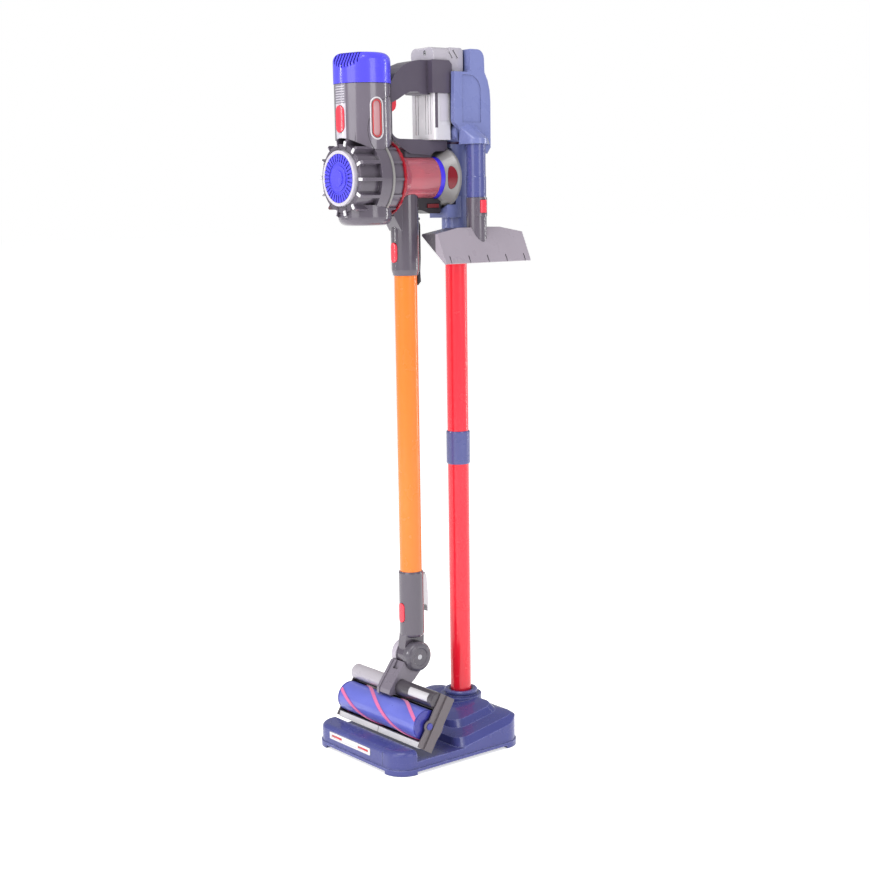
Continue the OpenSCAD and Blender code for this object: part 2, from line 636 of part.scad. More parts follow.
module battery_case() color(silver) unit() difference() {
  union() {
    translate([0, battery_y + battery_d / 2, battery_z]) linear_extrude(unit_h - battery_z - 8)
      round_rect(battery_w, battery_d, 1.5);
    side(-battery_w / 2 + 7, battery_w / 2 - 7) polygon([[battery_y, unit_h - 23], [battery_y, unit_h - 1.5],
      [battery_y + 1.5, unit_h], [battery_y + battery_d, unit_h], [battery_y + battery_d, unit_h - 23]]);
    for (s = [-1, 1]) translate([s * (battery_w / 2 - 8), battery_y, unit_h - 8]) rotate([-90, 0, 0])
      cylinder(r = 8, h = battery_d);
    // Hook that reaches over the dock's rear wall
    side(-battery_w / 2, battery_w / 2) polygon([[battery_y + battery_d - 1, unit_h - 25.5],
      [dock_y - 2.5, unit_h - 25.5], [dock_y - 2.5, unit_h - 3], [dock_y - 5.5, unit_h],
      [battery_y + battery_d - 1, unit_h]]);
    // Foot that stands on the dock's cross roll
    side(-battery_w / 2 + 3, battery_w / 2 - 3) polygon([[battery_y + battery_d - 1, roll_h + 2],
      [battery_y + battery_d + 0.3, roll_h + 2], [battery_y + battery_d + 3, roll_h + cross_r + gap],
      [roll_at + 1, roll_h + cross_r + gap], [roll_at + 1, roll_h + 15],
      [battery_y + battery_d - 1, roll_h + 19]]);
  }
  // Room for the cells
  translate([-cell_r * 2 - 0.5, battery_y + battery_d / 2 - cell_r - 0.3, battery_z + 3])
    cube([cell_r * 4 + 1, cell_r * 2 + 0.6, 2 * cell_h + 0.4]);
  // Ribs down the front
  for (x = [-13, -8.5, 4.5, 9, 13.5]) translate([x, battery_y - 1, battery_z + 6])
    cube([0.9, 1.6, sleeve_z - battery_z - 4]);
  // Seats of the rails and panels on both sides
  for (s = [-1, 1]) {
    translate([s * battery_w / 2 - 1.6, battery_y + 1.5, battery_z + 13])
      cube([3.2, 4.2, sleeve_z - battery_z - 13]);
    translate([s * battery_w / 2 - 1.1, battery_y + 8.5, battery_z + 20])
      cube([2.2, 12, sleeve_z - battery_z - 20]);
    // Slanted slots near the top
    for (y = [27.5, 35]) translate([s * battery_w / 2, battery_y + y - 4, unit_h - 7]) rotate([38, 0, 0])
      cube([2.4, 1.8, 11], center = true);
  }
  // Screw wells
  translate([battery_w / 2 - 15, battery_y - 1, unit_h - 6]) rotate([-90, 0, 0]) {
    cylinder(r = 2.9, h = 4);
    cylinder(r = 1.5, h = 12, $fn = 24);
  }
}

module battery_rails() color(dark) unit() for (s = [-1, 1])
  translate([s * (battery_w / 2 - 0.75) - 0.75, battery_y + 1.7, battery_z + 13.2])
    cube([1.5, 3.8, sleeve_z - battery_z - 13.4]);

module battery_panels() color(grey) unit() for (s = [-1, 1])
  translate([s * (battery_w / 2 - 0.45) - 0.45, battery_y + 8.7, battery_z + 20.2])
    cube([0.9, 11.6, sleeve_z - battery_z - 20.4]);

module battery_cells() color(blue) unit() for (s = [-1, 1], z = [0, 1])
  translate([s * (cell_r + 0.1), battery_y + battery_d / 2, battery_z + 3.1 + z * (cell_h + 0.1)]) {
    cylinder(r = cell_r, h = cell_h - 0.8);
    cylinder(r = 1.9, h = cell_h);
  }

module battery_screws() color(silver) unit()
  translate([battery_w / 2 - 15, battery_y + 2.6, unit_h - 6]) rotate([90, 0, 0]) screw(1.45, 2.7, 4);

module inlet_collar() color(dark) unit() difference() {
  union() {
    translate([0, wand_y, inlet_z]) rotate_extrude() polygon([[0, 0], [inlet_r - 1.6, 0], [inlet_r, 6],
      [inlet_r, 90], [0, 90]]);
    // Shoulder that reaches forward under the bin's flare
    side(-11, 11) polygon([[-34, -23], [-30, -41], [-20, -57], [-10, -57], [-10, -23]]);
  }
  // The bin's flare and body above
  bin_form(0.2);
  // Bore of the wand, and the air way above it
  translate([0, wand_y, inlet_z - 1]) cylinder(r = wand_r + fit, h = wand_up - inlet_z + 1.3);
  translate([0, wand_y, wand_up - 1]) cylinder(r = wand_r - 2, h = 60);
  // Hole of the release button
  translate([0, wand_y, inlet_mid]) rotate([90, 0, 0]) linear_extrude(40) slot_shape(10.6, 22.6);
  // Flat that the rear lever lies on
  translate([-5.6, wand_y + inlet_r - 1.4, inlet_z - 11.5]) cube([11.2, 10, 78]);
}

module inlet_button() color(red) unit() intersection() {
  translate([0, wand_y - wand_r - 0.5, inlet_mid]) rotate([90, 0, 0]) linear_extrude(20) slot_shape(10, 22);
  translate([0, wand_y, inlet_mid - 22]) cylinder(r = inlet_r + 1.3, h = 50);
}

// The lever behind the upper collar, which turns on the barrel at its top
module inlet_lever() color(dark) unit() difference() {
  y = wand_y + inlet_r;
  union() {
    side(-5, 5) polygon([[y - 1.0, inlet_z + 3.5], [y - 1.0, inlet_z + 63.5], [y + 2.6, inlet_z + 55.5],
      [y + 2.6, inlet_z + 18.5], [y + 1.6, inlet_z + 3.5], [y + 2.4, inlet_z - 7.5],
      [y - 1.6, inlet_z - 11.5], [y - 1.6, inlet_z - 4.5]]);
    translate([-5, y + 0.75, inlet_z + 62]) rotate([0, 90, 0]) cylinder(r = 1.6, h = 10);
  }
  translate([0, wand_y, inlet_z - 50]) cylinder(r = wand_r + 0.4, h = 160);
}

module motor() color(silver) unit() translate([0, housing_y, motor_z]) {
  rotate_extrude() polygon([[0, 0], [motor_r - 1, 0], [motor_r, 1], [motor_r, 33], [motor_r - 1, 34],
    [0, 34]]);
  translate([0, 0, 33]) cylinder(r = 3, h = 3.5);
  translate([0, 0, 36]) cylinder(r = 1.2 - fit, h = 9);
}

module fan() color(grey) unit() translate([0, housing_y, motor_z + 36.8]) difference() {
  union() {
    cylinder(r = 4, h = 8);
    cylinder(r = 20, h = 1.4);
    for (i = [0:8]) rotate(i * 40) translate([3, -0.6, 0]) cube([16.5, 1.2, 8]);
  }
  translate([0, 0, -1]) cylinder(r = 1.2, h = 20, $fn = 32);
}

// Wand and tilting joint

module wand() color(orange) difference() {
  translate([0, wand_y, wand_low]) tube(wand_r, wand_r - 1.8, bin_h + wand_up - wand_low);
  // Holes that the two release buttons reach into
  translate([0, wand_y, bin_h + inlet_mid]) rotate([90, 0, 0]) linear_extrude(40) slot_shape(10.6, 22.6);
  translate([0, wand_y, 166]) rotate([90, 0, 0]) linear_extrude(40) slot_shape(9.6, 23.6);
}

module lower_collar() color(dark) difference() {
  union() {
    translate([0, wand_y, 0]) rotate_extrude() polygon(concat([[0, collar_low - 11],
      [collar_r - 5, collar_low - 11]], arc(collar_r - 6, collar_low - 5, 6, -80, 0, 5),
      [[collar_r, collar_top - 2], [collar_r - 1, collar_top], [0, collar_top]]));
    // Tongue between the joint's cheeks
    side(-tongue_w / 2, tongue_w / 2) polygon(concat([[hinge_y - 11, collar_low],
      [hinge_y - 14, hinge_z + 9]], arc(hinge_y, hinge_z, 16.4, 150, 390, 24),
      [[hinge_y + 15, collar_low]]));
  }
  translate([0, wand_y, wand_low - 0.2]) cylinder(r = wand_r + fit, h = 60);
  translate([0, wand_y, collar_low - 2]) cylinder(r = 8, h = 60);
  // Bore of the pivot pin
  translate([-20, hinge_y, hinge_z]) rotate([0, 90, 0]) cylinder(r = 3 + fit, h = 40);
  // Hole of the release button and the flat of the lever
  translate([0, wand_y, 166]) rotate([90, 0, 0]) linear_extrude(40) slot_shape(9.6, 23.6);
  translate([-5.6, wand_y + collar_r - 1.2, 168]) cube([11.2, 10, 60]);
  // Room for the joint's cheeks
  for (s = [-1, 1]) translate([s > 0 ? tongue_w / 2 : -tongue_w / 2 - 20, hinge_y, hinge_z])
    rotate([0, 90, 0]) cylinder(r = hinge_r + 0.5, h = 20);
}

module collar_button() color(red) intersection() {
  translate([0, wand_y - wand_r - 0.4, 166]) rotate([90, 0, 0]) linear_extrude(20) slot_shape(9, 23);
  translate([0, wand_y, 140]) cylinder(r = collar_r + 1.3, h = 50);
}

module collar_lever() color(grey) difference() {
  y = wand_y + collar_r;
  union() {
    side(-5, 5) polygon([[y - 0.8, 172], [y - 0.8, 206], [y + 2.2, 211], [y + 4.6, 206],
      [y + 6.2, 186], [y + 6.4, 164], [y + 5.2, 163], [y + 4.2, 170], [y + 2.6, 172]]);
    translate([-5, y + 0.75, 204.5]) rotate([0, 90, 0]) cylinder(r = 1.6, h = 10);
  }
  translate([0, wand_y, 150]) cylinder(r = wand_r + 0.4, h = 80);
}

module pivot_pin() color(silver) translate([-17, hinge_y, hinge_z]) rotate([0, 90, 0])
  cylinder(r = 3, h = 34);

module joint_drum() color(grey) difference() {
  for (s = [-1, 1]) translate([s * (tongue_w / 2 + gap), hinge_y, hinge_z]) rotate([0, s * 90, 0])
    rotate_extrude() polygon(concat([[0, 0], [hinge_r, 0]],
      arc(hinge_r - 5, drum_w / 2 - tongue_w / 2 - gap - 5, 5, 0, 90, 6),
      [[11, drum_w / 2 - tongue_w / 2 - gap], [10, drum_w / 2 - tongue_w / 2 - gap - 1],
       [0, drum_w / 2 - tongue_w / 2 - gap - 1]]));
  translate([-17.1, hinge_y, hinge_z]) rotate([0, 90, 0]) cylinder(r = 3 + 0.01, h = 34.2);
}

// Cleaner head, drawn upright round the roller's axis and then leaned back
module in_head() {
  translate([0, roll_y, roll_z]) rotate([-head_lean, 0, 0]) children();
}

module head_neck() color(dark) difference() {
  union() {
    // Web from the joint's cheeks down to the front of the bar
    side(-11, 11) polygon([[hinge_y - 19, hinge_z - 4], [hinge_y - 41, hinge_z - 34],
      [hinge_y - 42, hinge_z - 39], [hinge_y - 35.5, hinge_z - 45], [hinge_y - 16, hinge_z - 36],
      [hinge_y - 4, hinge_z - 28], [hinge_y + 7, hinge_z - 17], [hinge_y + 7, hinge_z - 8]]);
    // Raised edge strip on the left of the web
    side(-12, -8) polygon([[hinge_y - 20.5, hinge_z - 4], [hinge_y - 42.5, hinge_z - 34],
      [hinge_y - 43, hinge_z - 41], [hinge_y - 36, hinge_z - 46], [hinge_y - 12, hinge_z - 10]]);
  }
  // Clear of the joint's cheeks, tongue and the bar behind
  translate([-20, hinge_y, hinge_z]) rotate([0, 90, 0]) cylinder(r = hinge_r + 0.02, h = 40);
  in_head() translate([-50, -3.2, 30.5]) rotate([0, 90, 0]) cylinder(r = 9.6, h = 100);
  in_head() translate([-50, 0, 0]) rotate([0, 90, 0]) cylinder(r = roller_r + 2, h = 100);
  // Channel down the web
  in_head() translate([-3.5, -14, 22]) rotate([4, 0, 0]) cube([9, 3.2, 60]);
}

module head_bar() color(grey) in_head() difference() {
  translate([-head_w / 2 + 3.6, -3.2, 30.5]) rotate([0, 90, 0]) rotate_extrude()
    polygon([[0, 0], [8, 0], [9.5, 1.5], [9.5, head_w - 8.7], [8, head_w - 7.2], [0, head_w - 7.2]]);
  translate([-100, 0, 0]) rotate([0, 90, 0]) cylinder(r = roller_r + 1, h = 200);
  translate([-head_w / 2 + 7, -3.2, 30.5]) rotate([0, 90, 0]) cylinder(r = 7, h = head_w - 14);
}

module head_shell() color(dark) in_head() difference() {
  translate([-head_w / 2 + 3.6, 0, 0]) rotate([0, 90, 0]) cylinder(r = roller_r + 3, h = head_w - 7.2);
  translate([-100, 0, 0]) rotate([0, 90, 0]) cylinder(r = roller_r + 1, h = 200);
  translate([-100, -40, -60]) cube([200, 42, 120]);
  translate([-100, -40, -60]) cube([200, 80, 42]);
  translate([-100, -3.2, 30.5]) rotate([0, 90, 0]) cylinder(r = 9.6, h = 200);
}

// An end plate: s is -1 on the left and 1 on the right
module end_plate(s) in_head() {
  x_in = head_w / 2 - 3.4;
  difference() {
    union() {
      translate([s > 0 ? x_in : -head_w / 2, 5, -27]) cube([3.4, 12, 67.2]);
      translate([s > 0 ? x_in - 0.1 : -x_in - 1.5, -3.6, -27]) cube([1.6, 9, 67]);
      translate([s > 0 ? x_in - 0.1 : -x_in - 1.5, 0, 0]) rotate([0, 90, 0]) cylinder(r = 7, h = 1.6);
    }
    // Bore of the roller's stub
    translate([-100, 0, 0]) rotate([0, 90, 0]) cylinder(r = 4 + fit, h = 200);
    // Round the end of the bar
    translate([-head_w / 2 + 3.9, -3.2, 30.5]) rotate([0, 90, 0]) cylinder(r = 9.6, h = head_w - 7.8);
  }
}

module end_plate_left() color(dark) end_plate(-1);
module end_plate_right() color(dark) end_plate(1);

module head_strip() color(silver) in_head() difference() {
  translate([-head_w / 2 + 3.6, 0, -20.8]) rotate([18, 0, 0]) difference() {
    translate([0, -2.5, -6.8]) cube([head_w - 7.2, 5, 7]);
    translate([head_w / 2 - 4.2, -3, -7]) cube([1.2, 1.2, 8]);
  }
  translate([-100, 0, 0]) rotate([0, 90, 0]) cylinder(r = roller_r + 1, h = 200);
}

module roller() color(clear_blue) in_head() translate([-head_w / 2 + 9, 0, 0]) rotate([0, 90, 0])
  tube(roller_r - 1, roller_r - 3, head_w - 18);

module roller_strips() color([0.85, 0.45, 0.72]) in_head() translate([-head_w / 2 + 9.1, 0, 0])
  rotate([0, 90, 0]) for (i = [0:strip_count - 1]) rotate(i * 360 / strip_count + 20)
    linear_extrude(head_w - 18.2, twist = -250, slices = 44, $fn = 6)
      polygon(concat(arc(0, 0, roller_r, -7, 7, 2), arc(0, 0, roller_r - 0.8, 7, -7, 1)));

module roller_ends() color([0.24, 0.24, 0.62]) in_head() {
  for (s = [-1, 1]) {
    translate([s > 0 ? head_w / 2 - 8.9 : -head_w / 2 + 6.4, 0, 0]) rotate([0, 90, 0])
      cylinder(r = roller_r - 0.9, h = 2.5);
    translate([s > 0 ? head_w / 2 - 18 : -head_w / 2 + 8, 0, 0]) rotate([0, 90, 0])
      cylinder(r = roller_r - 3.05, h = 10);
  }
  translate([-head_w / 2 + 1, 0, 0]) rotate([0, 90, 0]) cylinder(r = 4, h = head_w - 2);
}

// Wide nozzle on the dock's peg

module nozzle_neck() color(dark) translate([peg_x, peg_y, bin_h + peg_foot]) difference() {
  union() {
    translate([0, 0, -55]) cylinder(r = nozzle_dia / 2, h = 55 - gap);
    // Housing of the release button
    translate([0, 0, -21]) intersection() {
      cylinder(r = nozzle_dia / 2 + 0.9, h = 21 - gap);
      translate([3, -7.5, 0]) cube([20, 15, 40]);
    }
    // Point that runs down over the hood
    intersection() {
      translate([0, 0, -67]) cylinder(r = nozzle_dia / 2, h = 14);
      translate([0, 0, -67]) rotate([0, 45, 0]) translate([-20, -20, -8.5]) cube([60, 40, 60]);
    }
  }
  translate([0, 0, -81]) cylinder(r = spigot_r + fit, h = 100);
  // Hole of the button
  translate([4, 0, -10]) rotate([0, 90, 0]) linear_extrude(20) square([14.6, 8.6], center = true);
}

// The hood is drawn in the nozzle's own X and Z, and the mouth's length runs along Y
module hood_section() polygon([[-21, -41], [-16, -33], [4, -33], [22, hood_low + 1], [20, hood_low]]);

// A block with the hood's outline seen from the front, drawn in Y and Z
module hood_front(inset) {
  m = mouth_w / 2 - inset;
  side(-40, 40) polygon([[-m, -81], [m, -81], [m, -39], [15, -30 - inset], [-15, -30 - inset], [-m, -39]]);
}

module nozzle_hood() color(grey) translate([peg_x, peg_y, bin_h + peg_foot]) difference() {
  intersection() {
    rotate([90, 0, 0]) linear_extrude(mouth_w + 10, center = true) hood_section();
    hood_front(0);
  }
  // Hollow, open toward the mouth
  intersection() {
    rotate([90, 0, 0]) linear_extrude(mouth_w + 10, center = true)
      polygon([[-23, -45], [-14, -36], [3, -36], [20.6, hood_low + 0.5], [18, -81], [-30, -51]]);
    hood_front(2.2);
  }
  // Where the neck passes through
  translate([0, 0, -81]) cylinder(r = nozzle_dia / 2 + 0.02, h = 80);
  // Notches along the lip
  for (i = [1:notch_count])
    translate([21, (i - (notch_count + 1) / 2) * mouth_w / (notch_count - 0.4), hood_low + 5])
      rotate([0, -28, 0]) cube([4, 1.5, 9], center = true);
}

module nozzle_button() color(red) translate([peg_x, peg_y, bin_h + peg_foot - 10]) intersection() {
  translate([spigot_r + 1.35, -4, -7]) cube([8, 8, 14]);
  translate([0, 0, -20]) cylinder(r = nozzle_dia / 2 + 2.2, h = 40);
}

stand_base();
base_cover();
base_pads();
base_screws();
label_plate();
lower_pole();
pole_coupler();
upper_pole();
dock_shell();
tool_peg();
dock_screws();
motor_housing();
front_strip();
power_button();
side_badges();
filter_cap();
cyclone_drum();
fin_tips();
seam_ring();
filter_ring();
filter_disc();
dust_bin();
bin_mesh();
bin_band();
bin_cap();
bin_lens();
bin_hinge();
bin_release();
handle_left();
handle_right();
trigger();
battery_case();
battery_rails();
battery_panels();
battery_cells();
battery_screws();
inlet_collar();
inlet_button();
inlet_lever();
motor();
fan();
wand();
lower_collar();
collar_button();
collar_lever();
pivot_pin();
joint_drum();
head_neck();
head_bar();
head_shell();
end_plate_left();
end_plate_right();
head_strip();
roller();
roller_strips();
roller_ends();
nozzle_neck();
nozzle_hood();
nozzle_button();
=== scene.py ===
"""Looks of the toy stick vacuum cleaner in its storage stand.

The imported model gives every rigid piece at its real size. This script gives
each one its finish, adds the small trim that moulded toys carry, and sets the
floor, the light and the camera of the studio photograph.
"""

import logging
import math
from abc import ABC, abstractmethod
from dataclasses import dataclass
from enum import Enum
from typing import ClassVar, Dict, List, Optional, Sequence, Tuple

import bmesh
import bpy
from mathutils import Matrix, Vector


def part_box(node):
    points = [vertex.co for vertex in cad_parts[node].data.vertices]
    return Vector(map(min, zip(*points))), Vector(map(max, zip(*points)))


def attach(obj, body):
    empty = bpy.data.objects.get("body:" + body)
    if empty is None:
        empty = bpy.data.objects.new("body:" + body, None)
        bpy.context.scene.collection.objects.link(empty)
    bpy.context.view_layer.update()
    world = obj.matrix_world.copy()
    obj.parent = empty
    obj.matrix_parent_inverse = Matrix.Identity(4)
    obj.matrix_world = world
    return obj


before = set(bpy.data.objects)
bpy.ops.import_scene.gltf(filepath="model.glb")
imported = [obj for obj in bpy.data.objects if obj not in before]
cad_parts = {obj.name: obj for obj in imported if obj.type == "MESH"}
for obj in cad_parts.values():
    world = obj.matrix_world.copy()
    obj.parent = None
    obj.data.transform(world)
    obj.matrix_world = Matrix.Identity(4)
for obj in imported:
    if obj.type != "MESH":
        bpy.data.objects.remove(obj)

LOG = logging.getLogger("toy_cleaner")
Colour = Tuple[float, float, float]
Point = Tuple[float, float, float]
MM = 0.001

# Where a noise counts as its low and its high value
NOISE_LOW, NOISE_HIGH = 0.3, 0.7
# Rays for each of the rounded edges and the crevices
RAY_SAMPLES = 4
# How square two normals have to be for an edge to start and to be full
EDGE_START, EDGE_FULL = 0.995, 0.90
# How open a crevice is where its shade starts and where it is full
CREVICE_START, CREVICE_FULL = 0.75, 0.15
# How much darker the flow marks of moulded plastic are
STREAK = 0.03
# How much of its colour moulded plastic keeps under the painted shade in a crevice
CREVICE_SHARE = 0.45
# A limit in metres that lies past the end of every piece
PAST_END = 1.0


class Side(Enum):
    """A side of the toy, with the sign of its X."""

    LEFT = -1
    RIGHT = 1


class Grain(Enum):
    """How a moulded piece feels: cells of its grain to a metre, and their depth."""

    POLISHED = (160.0, 0.05)
    SATIN = (900.0, 0.10)
    SPARK = (2600.0, 0.22)


def linear(colour: Colour) -> Tuple[float, float, float, float]:
    """Turn a colour as a screen shows it into the renderer's linear values.

    Args:
        colour: Red, green and blue from 0 to 1 as seen on a screen.

    Returns:
        The linear colour with an alpha of 1.
    """
    low = [c / 12.92 if c <= 0.04045 else ((c + 0.055) / 1.055) ** 2.4 for c in colour]
    return (low[0], low[1], low[2], 1.0)


def shifted(colour: Colour, by: float) -> Colour:
    """Make a colour lighter or darker, kept between 0 and 1."""
    red, green, blue = (min(1.0, max(0.0, c + by)) for c in colour)
    return red, green, blue


def scaled(colour: Colour, by: float) -> Colour:
    """Multiply a colour by a share."""
    red, green, blue = (c * by for c in colour)
    return red, green, blue


class NodeBook:
    """A short hand for building one material's node tree."""

    def __init__(self, name: str) -> None:
        """Start an empty material with a principled shader.

        Args:
            name: The material's name.
        """
        self.material = bpy.data.materials.new(name)
        self.material.use_nodes = True
        self.tree = self.material.node_tree
        self.tree.nodes.clear()
        self.output = self.tree.nodes.new("ShaderNodeOutputMaterial")
        self.shader = self.tree.nodes.new("ShaderNodeBsdfPrincipled")
        self.join(self.shader, "BSDF", self.output, "Surface")

    def add(self, kind: str, **sockets: object) -> bpy.types.Node:
        """Add a node and set its sockets by name.

        Args:
            kind: The node's type name, without its ShaderNode prefix.
            **sockets: Default values, with spaces in names written as underscores.

        Returns:
            The new node.
        """
        node = self.tree.nodes.new("ShaderNode" + kind)
        for key, value in sockets.items():
            node.inputs[key.replace("_", " ")].default_value = value
        return node

    def uniform(self, **sockets: object) -> None:
        """Set values of the principled shader that are the same all over.

        Args:
            **sockets: Values, with spaces in names written as underscores.
        """
        for key, value in sockets.items():
            self.shader.inputs[key.replace("_", " ")].default_value = value

    def join(self, a: bpy.types.Node, out: str, b: bpy.types.Node, socket: str) -> None:
        """Link output out of node a to the socket of node b."""
        self.tree.links.new(a.outputs[out], b.inputs[socket])

    def feed(self, socket: str) -> Optional[bpy.types.NodeSocket]:
        """Give the output that feeds one of the shader's sockets, if there is one."""
        links = self.shader.inputs[socket].links
        return links[0].from_socket if links else None

    def noise(self, scale: float, detail: float = 3.0,
              stretch: Point = (1.0, 1.0, 1.0)) -> bpy.types.Node:
        """Add a noise texture in the piece's own metres.

        Args:
            scale: Cells to a metre.
            detail: Octaves of the noise.
            stretch: Scale along X, Y and Z, to draw the noise out.

        Returns:
            The noise node, whose output is Fac.
        """
        place = self.add("TexCoord")
        fit = self.add("Mapping", Scale=stretch)
        node = self.add("TexNoise", Scale=scale, Detail=detail)
        self.join(place, "Object", fit, "Vector")
        self.join(fit, "Vector", node, "Vector")
        return node

    def spread(self, noise: bpy.types.Node, low: float, high: float) -> bpy.types.Node:
        """Map a noise onto a range of values.

        Args:
            noise: The noise node.
            low: The value where the noise is low.
            high: The value where the noise is high.

        Returns:
            The map range node, whose output is Result.
        """
        node = self.add("MapRange", From_Min=NOISE_LOW, From_Max=NOISE_HIGH,
                        To_Min=low, To_Max=high)
        self.join(noise, "Fac", node, "Value")
        return node

    def product(self, a: bpy.types.Node, out_a: str,
                b: bpy.types.Node, out_b: str) -> bpy.types.Node:
        """Multiply two outputs.

        Args:
            a: The first node.
            out_a: The name of its output.
            b: The second node.
            out_b: The name of its output.

        Returns:
            The math node, whose output is Value.
        """
        node = self.add("Math")
        node.operation = "MULTIPLY"
        self.tree.links.new(a.outputs[out_a], node.inputs[0])
        self.tree.links.new(b.outputs[out_b], node.inputs[1])
        return node

    def rough(self, noise: bpy.types.Node, low: float, high: float) -> None:
        """Vary the shader's roughness by a noise, from low to high."""
        self.join(self.spread(noise, low, high), "Result", self.shader, "Roughness")

    def bump(self, noise: bpy.types.Node, strength: float, distance: float) -> None:
        """Raise the surface by a noise, on top of any bump that is there.

        Args:
            noise: The noise node.
            strength: How much of the bump shows, from 0 to 1.
            distance: Height of the relief in metres.
        """
        node = self.add("Bump", Strength=strength, Distance=distance)
        self.join(noise, "Fac", node, "Height")
        below = self.feed("Normal")
        if below:
            self.tree.links.new(below, node.inputs["Normal"])
        self.join(node, "Normal", self.shader, "Normal")

    def tint(self, base: Colour, shade: Colour, noise: bpy.types.Node) -> None:
        """Vary the base colour between two tones by a noise.

        Args:
            base: The main colour, as seen on a screen.
            shade: The second tone.
            noise: The noise node.
        """
        mix = self.add("MixRGB")
        mix.inputs[1].default_value = linear(base)
        mix.inputs[2].default_value = linear(shade)
        self.join(self.spread(noise, 0.0, 1.0), "Result", mix, "Fac")
        self.join(mix, "Color", self.shader, "Base Color")

    def over(self, colour: Colour, mask: bpy.types.Node, out: str) -> None:
        """Lay another colour over the base colour where a mask is 1.

        Args:
            colour: The colour on top, as seen on a screen.
            mask: The node that gives the mask.
            out: The name of its output.
        """
        mix = self.add("MixRGB")
        mix.inputs[2].default_value = linear(colour)
        self.tree.links.new(self.feed("Base Color"), mix.inputs[1])
        self.join(mask, out, mix, "Fac")
        self.join(mix, "Color", self.shader, "Base Color")

    def worn_and_highlit_edges(self, colour: Colour, radius: float, amount: float) -> None:
        """Round the edges a little and lighten them in patches, partly as rubbed wear and partly as
        a painted highlight.

        Args:
            colour: The lighter edge colour, part rubbed wear and part painted highlight, as seen on
                a screen.
            radius: Radius of the rounding in metres.
            amount: How strong the lighter edge colour is, from 0 to 1.
        """
        ease = self.add("Bevel", Radius=radius)
        ease.samples = RAY_SAMPLES
        flat = self.add("NewGeometry")
        meet = self.add("VectorMath")
        meet.operation = "DOT_PRODUCT"
        self.tree.links.new(ease.outputs["Normal"], meet.inputs[0])
        self.tree.links.new(flat.outputs["Normal"], meet.inputs[1])
        edge = self.add("MapRange", From_Min=EDGE_START, From_Max=EDGE_FULL,
                        To_Min=0.0, To_Max=amount)
        self.join(meet, "Value", edge, "Value")
        patch = self.spread(self.noise(scale=130.0), low=0.35, high=1.0)
        self.over(colour, self.product(edge, "Result", patch, "Result"), "Value")
        self.join(ease, "Normal", self.shader, "Normal")

    def painted_crevice_shade(self, colour: Colour, reach: float, amount: float) -> None:
        """Darken the crevices with painted shade.

        Args:
            colour: The painted shade colour in the deepest crevice, as seen on a screen.
            reach: How far a wall counts as near, in metres.
            amount: How strong the painted shade is, from 0 to 1.
        """
        near = self.add("AmbientOcclusion", Distance=reach)
        near.samples = RAY_SAMPLES
        deep = self.add("MapRange", From_Min=CREVICE_START, From_Max=CREVICE_FULL,
                        To_Min=0.0, To_Max=amount)
        self.join(near, "AO", deep, "Value")
        self.over(colour, deep, "Result")


@dataclass(frozen=True)
class Zone:
    """A stretch of a piece, along one axis, in a second colour."""

    axis: str
    low: float
    high: float
    colour: Colour
    blur: float = 0.0002

    def paint(self, book: NodeBook) -> None:
        """Lay the zone's colour over a material's base colour.

        Args:
            book: The material under way.
        """
        place = book.add("TexCoord")
        split = book.add("SeparateXYZ")
        book.join(place, "Object", split, "Vector")
        start = book.add("MapRange", From_Min=self.low - self.blur, From_Max=self.low + self.blur)
        stop = book.add("MapRange", From_Min=self.high + self.blur, From_Max=self.high - self.blur)
        book.join(split, self.axis, start, "Value")
        book.join(split, self.axis, stop, "Value")
        book.over(self.colour, book.product(start, "Result", stop, "Result"), "Value")


class Finish(ABC):
    """A surface that can make its own material."""

    @abstractmethod
    def build(self) -> bpy.types.Material:
        """Make the material.

        Returns:
            The finished material.
        """


@dataclass(frozen=True)
class MouldedPlastic(Finish):
    """Injection-moulded plastic with flow marks and a mould's grain."""

    name: str
    colour: Colour
    roughness: float = 0.3
    coat: float = 0.25
    grain: Grain = Grain.POLISHED
    # How much lighter the edges are, part wear and part painted highlight
    edge_wear_and_highlight: float = 0.10
    zones: Tuple[Zone, ...] = ()
    edge: float = 0.0007
    index: float = 1.45

    def build(self) -> bpy.types.Material:
        """Make the material from flow marks, zones, edges lightened as wear and painted highlight,
        crevices darkened with painted shade, and grain.

        Returns:
            The finished material.
        """
        book = NodeBook(self.name)
        flow = book.noise(scale=14.0, detail=4.0, stretch=(1.0, 1.0, 0.35))
        book.tint(self.colour, shifted(self.colour, -STREAK), flow)
        for zone in self.zones:
            zone.paint(book)
        # The edges are lightened, part wear and part painted highlight
        book.worn_and_highlit_edges(shifted(self.colour, self.edge_wear_and_highlight), radius=self.edge, amount=0.8)
        # Painted shade darkens the crevices
        book.painted_crevice_shade(scaled(self.colour, CREVICE_SHARE), reach=0.008, amount=0.9)
        handling = book.noise(scale=55.0, detail=5.0)
        book.rough(handling, self.roughness - 0.06, self.roughness + 0.08)
        book.uniform(Coat_Weight=self.coat, Coat_Roughness=0.08, IOR=self.index)
        book.bump(book.noise(scale=34.0, detail=2.0), strength=0.03, distance=0.0012)
        cells, depth = self.grain.value
        book.bump(book.noise(scale=cells, detail=2.0), strength=depth, distance=0.0003)
        return book.material


@dataclass(frozen=True)
class ClearPlastic(Finish):
    """Tinted see-through plastic, as on the dust bin and the roller."""

    name: str
    colour: Colour
    clearness: float
    roughness: float
    zones: Tuple[Zone, ...] = ()

    def build(self) -> bpy.types.Material:
        """Make the material from a cloudy tint and a smooth coat.

        Returns:
            The finished material.
        """
        book = NodeBook(self.name)
        cloud = book.noise(scale=30.0)
        book.tint(self.colour, shifted(self.colour, -0.05), cloud)
        for zone in self.zones:
            zone.paint(book)
        book.rough(cloud, self.roughness - 0.03, self.roughness + 0.06)
        book.uniform(Transmission_Weight=self.clearness, IOR=1.3,
                     Coat_Weight=0.6, Coat_Roughness=0.06)
        book.bump(book.noise(scale=120.0, detail=2.0), strength=0.05, distance=0.0004)
        return book.material


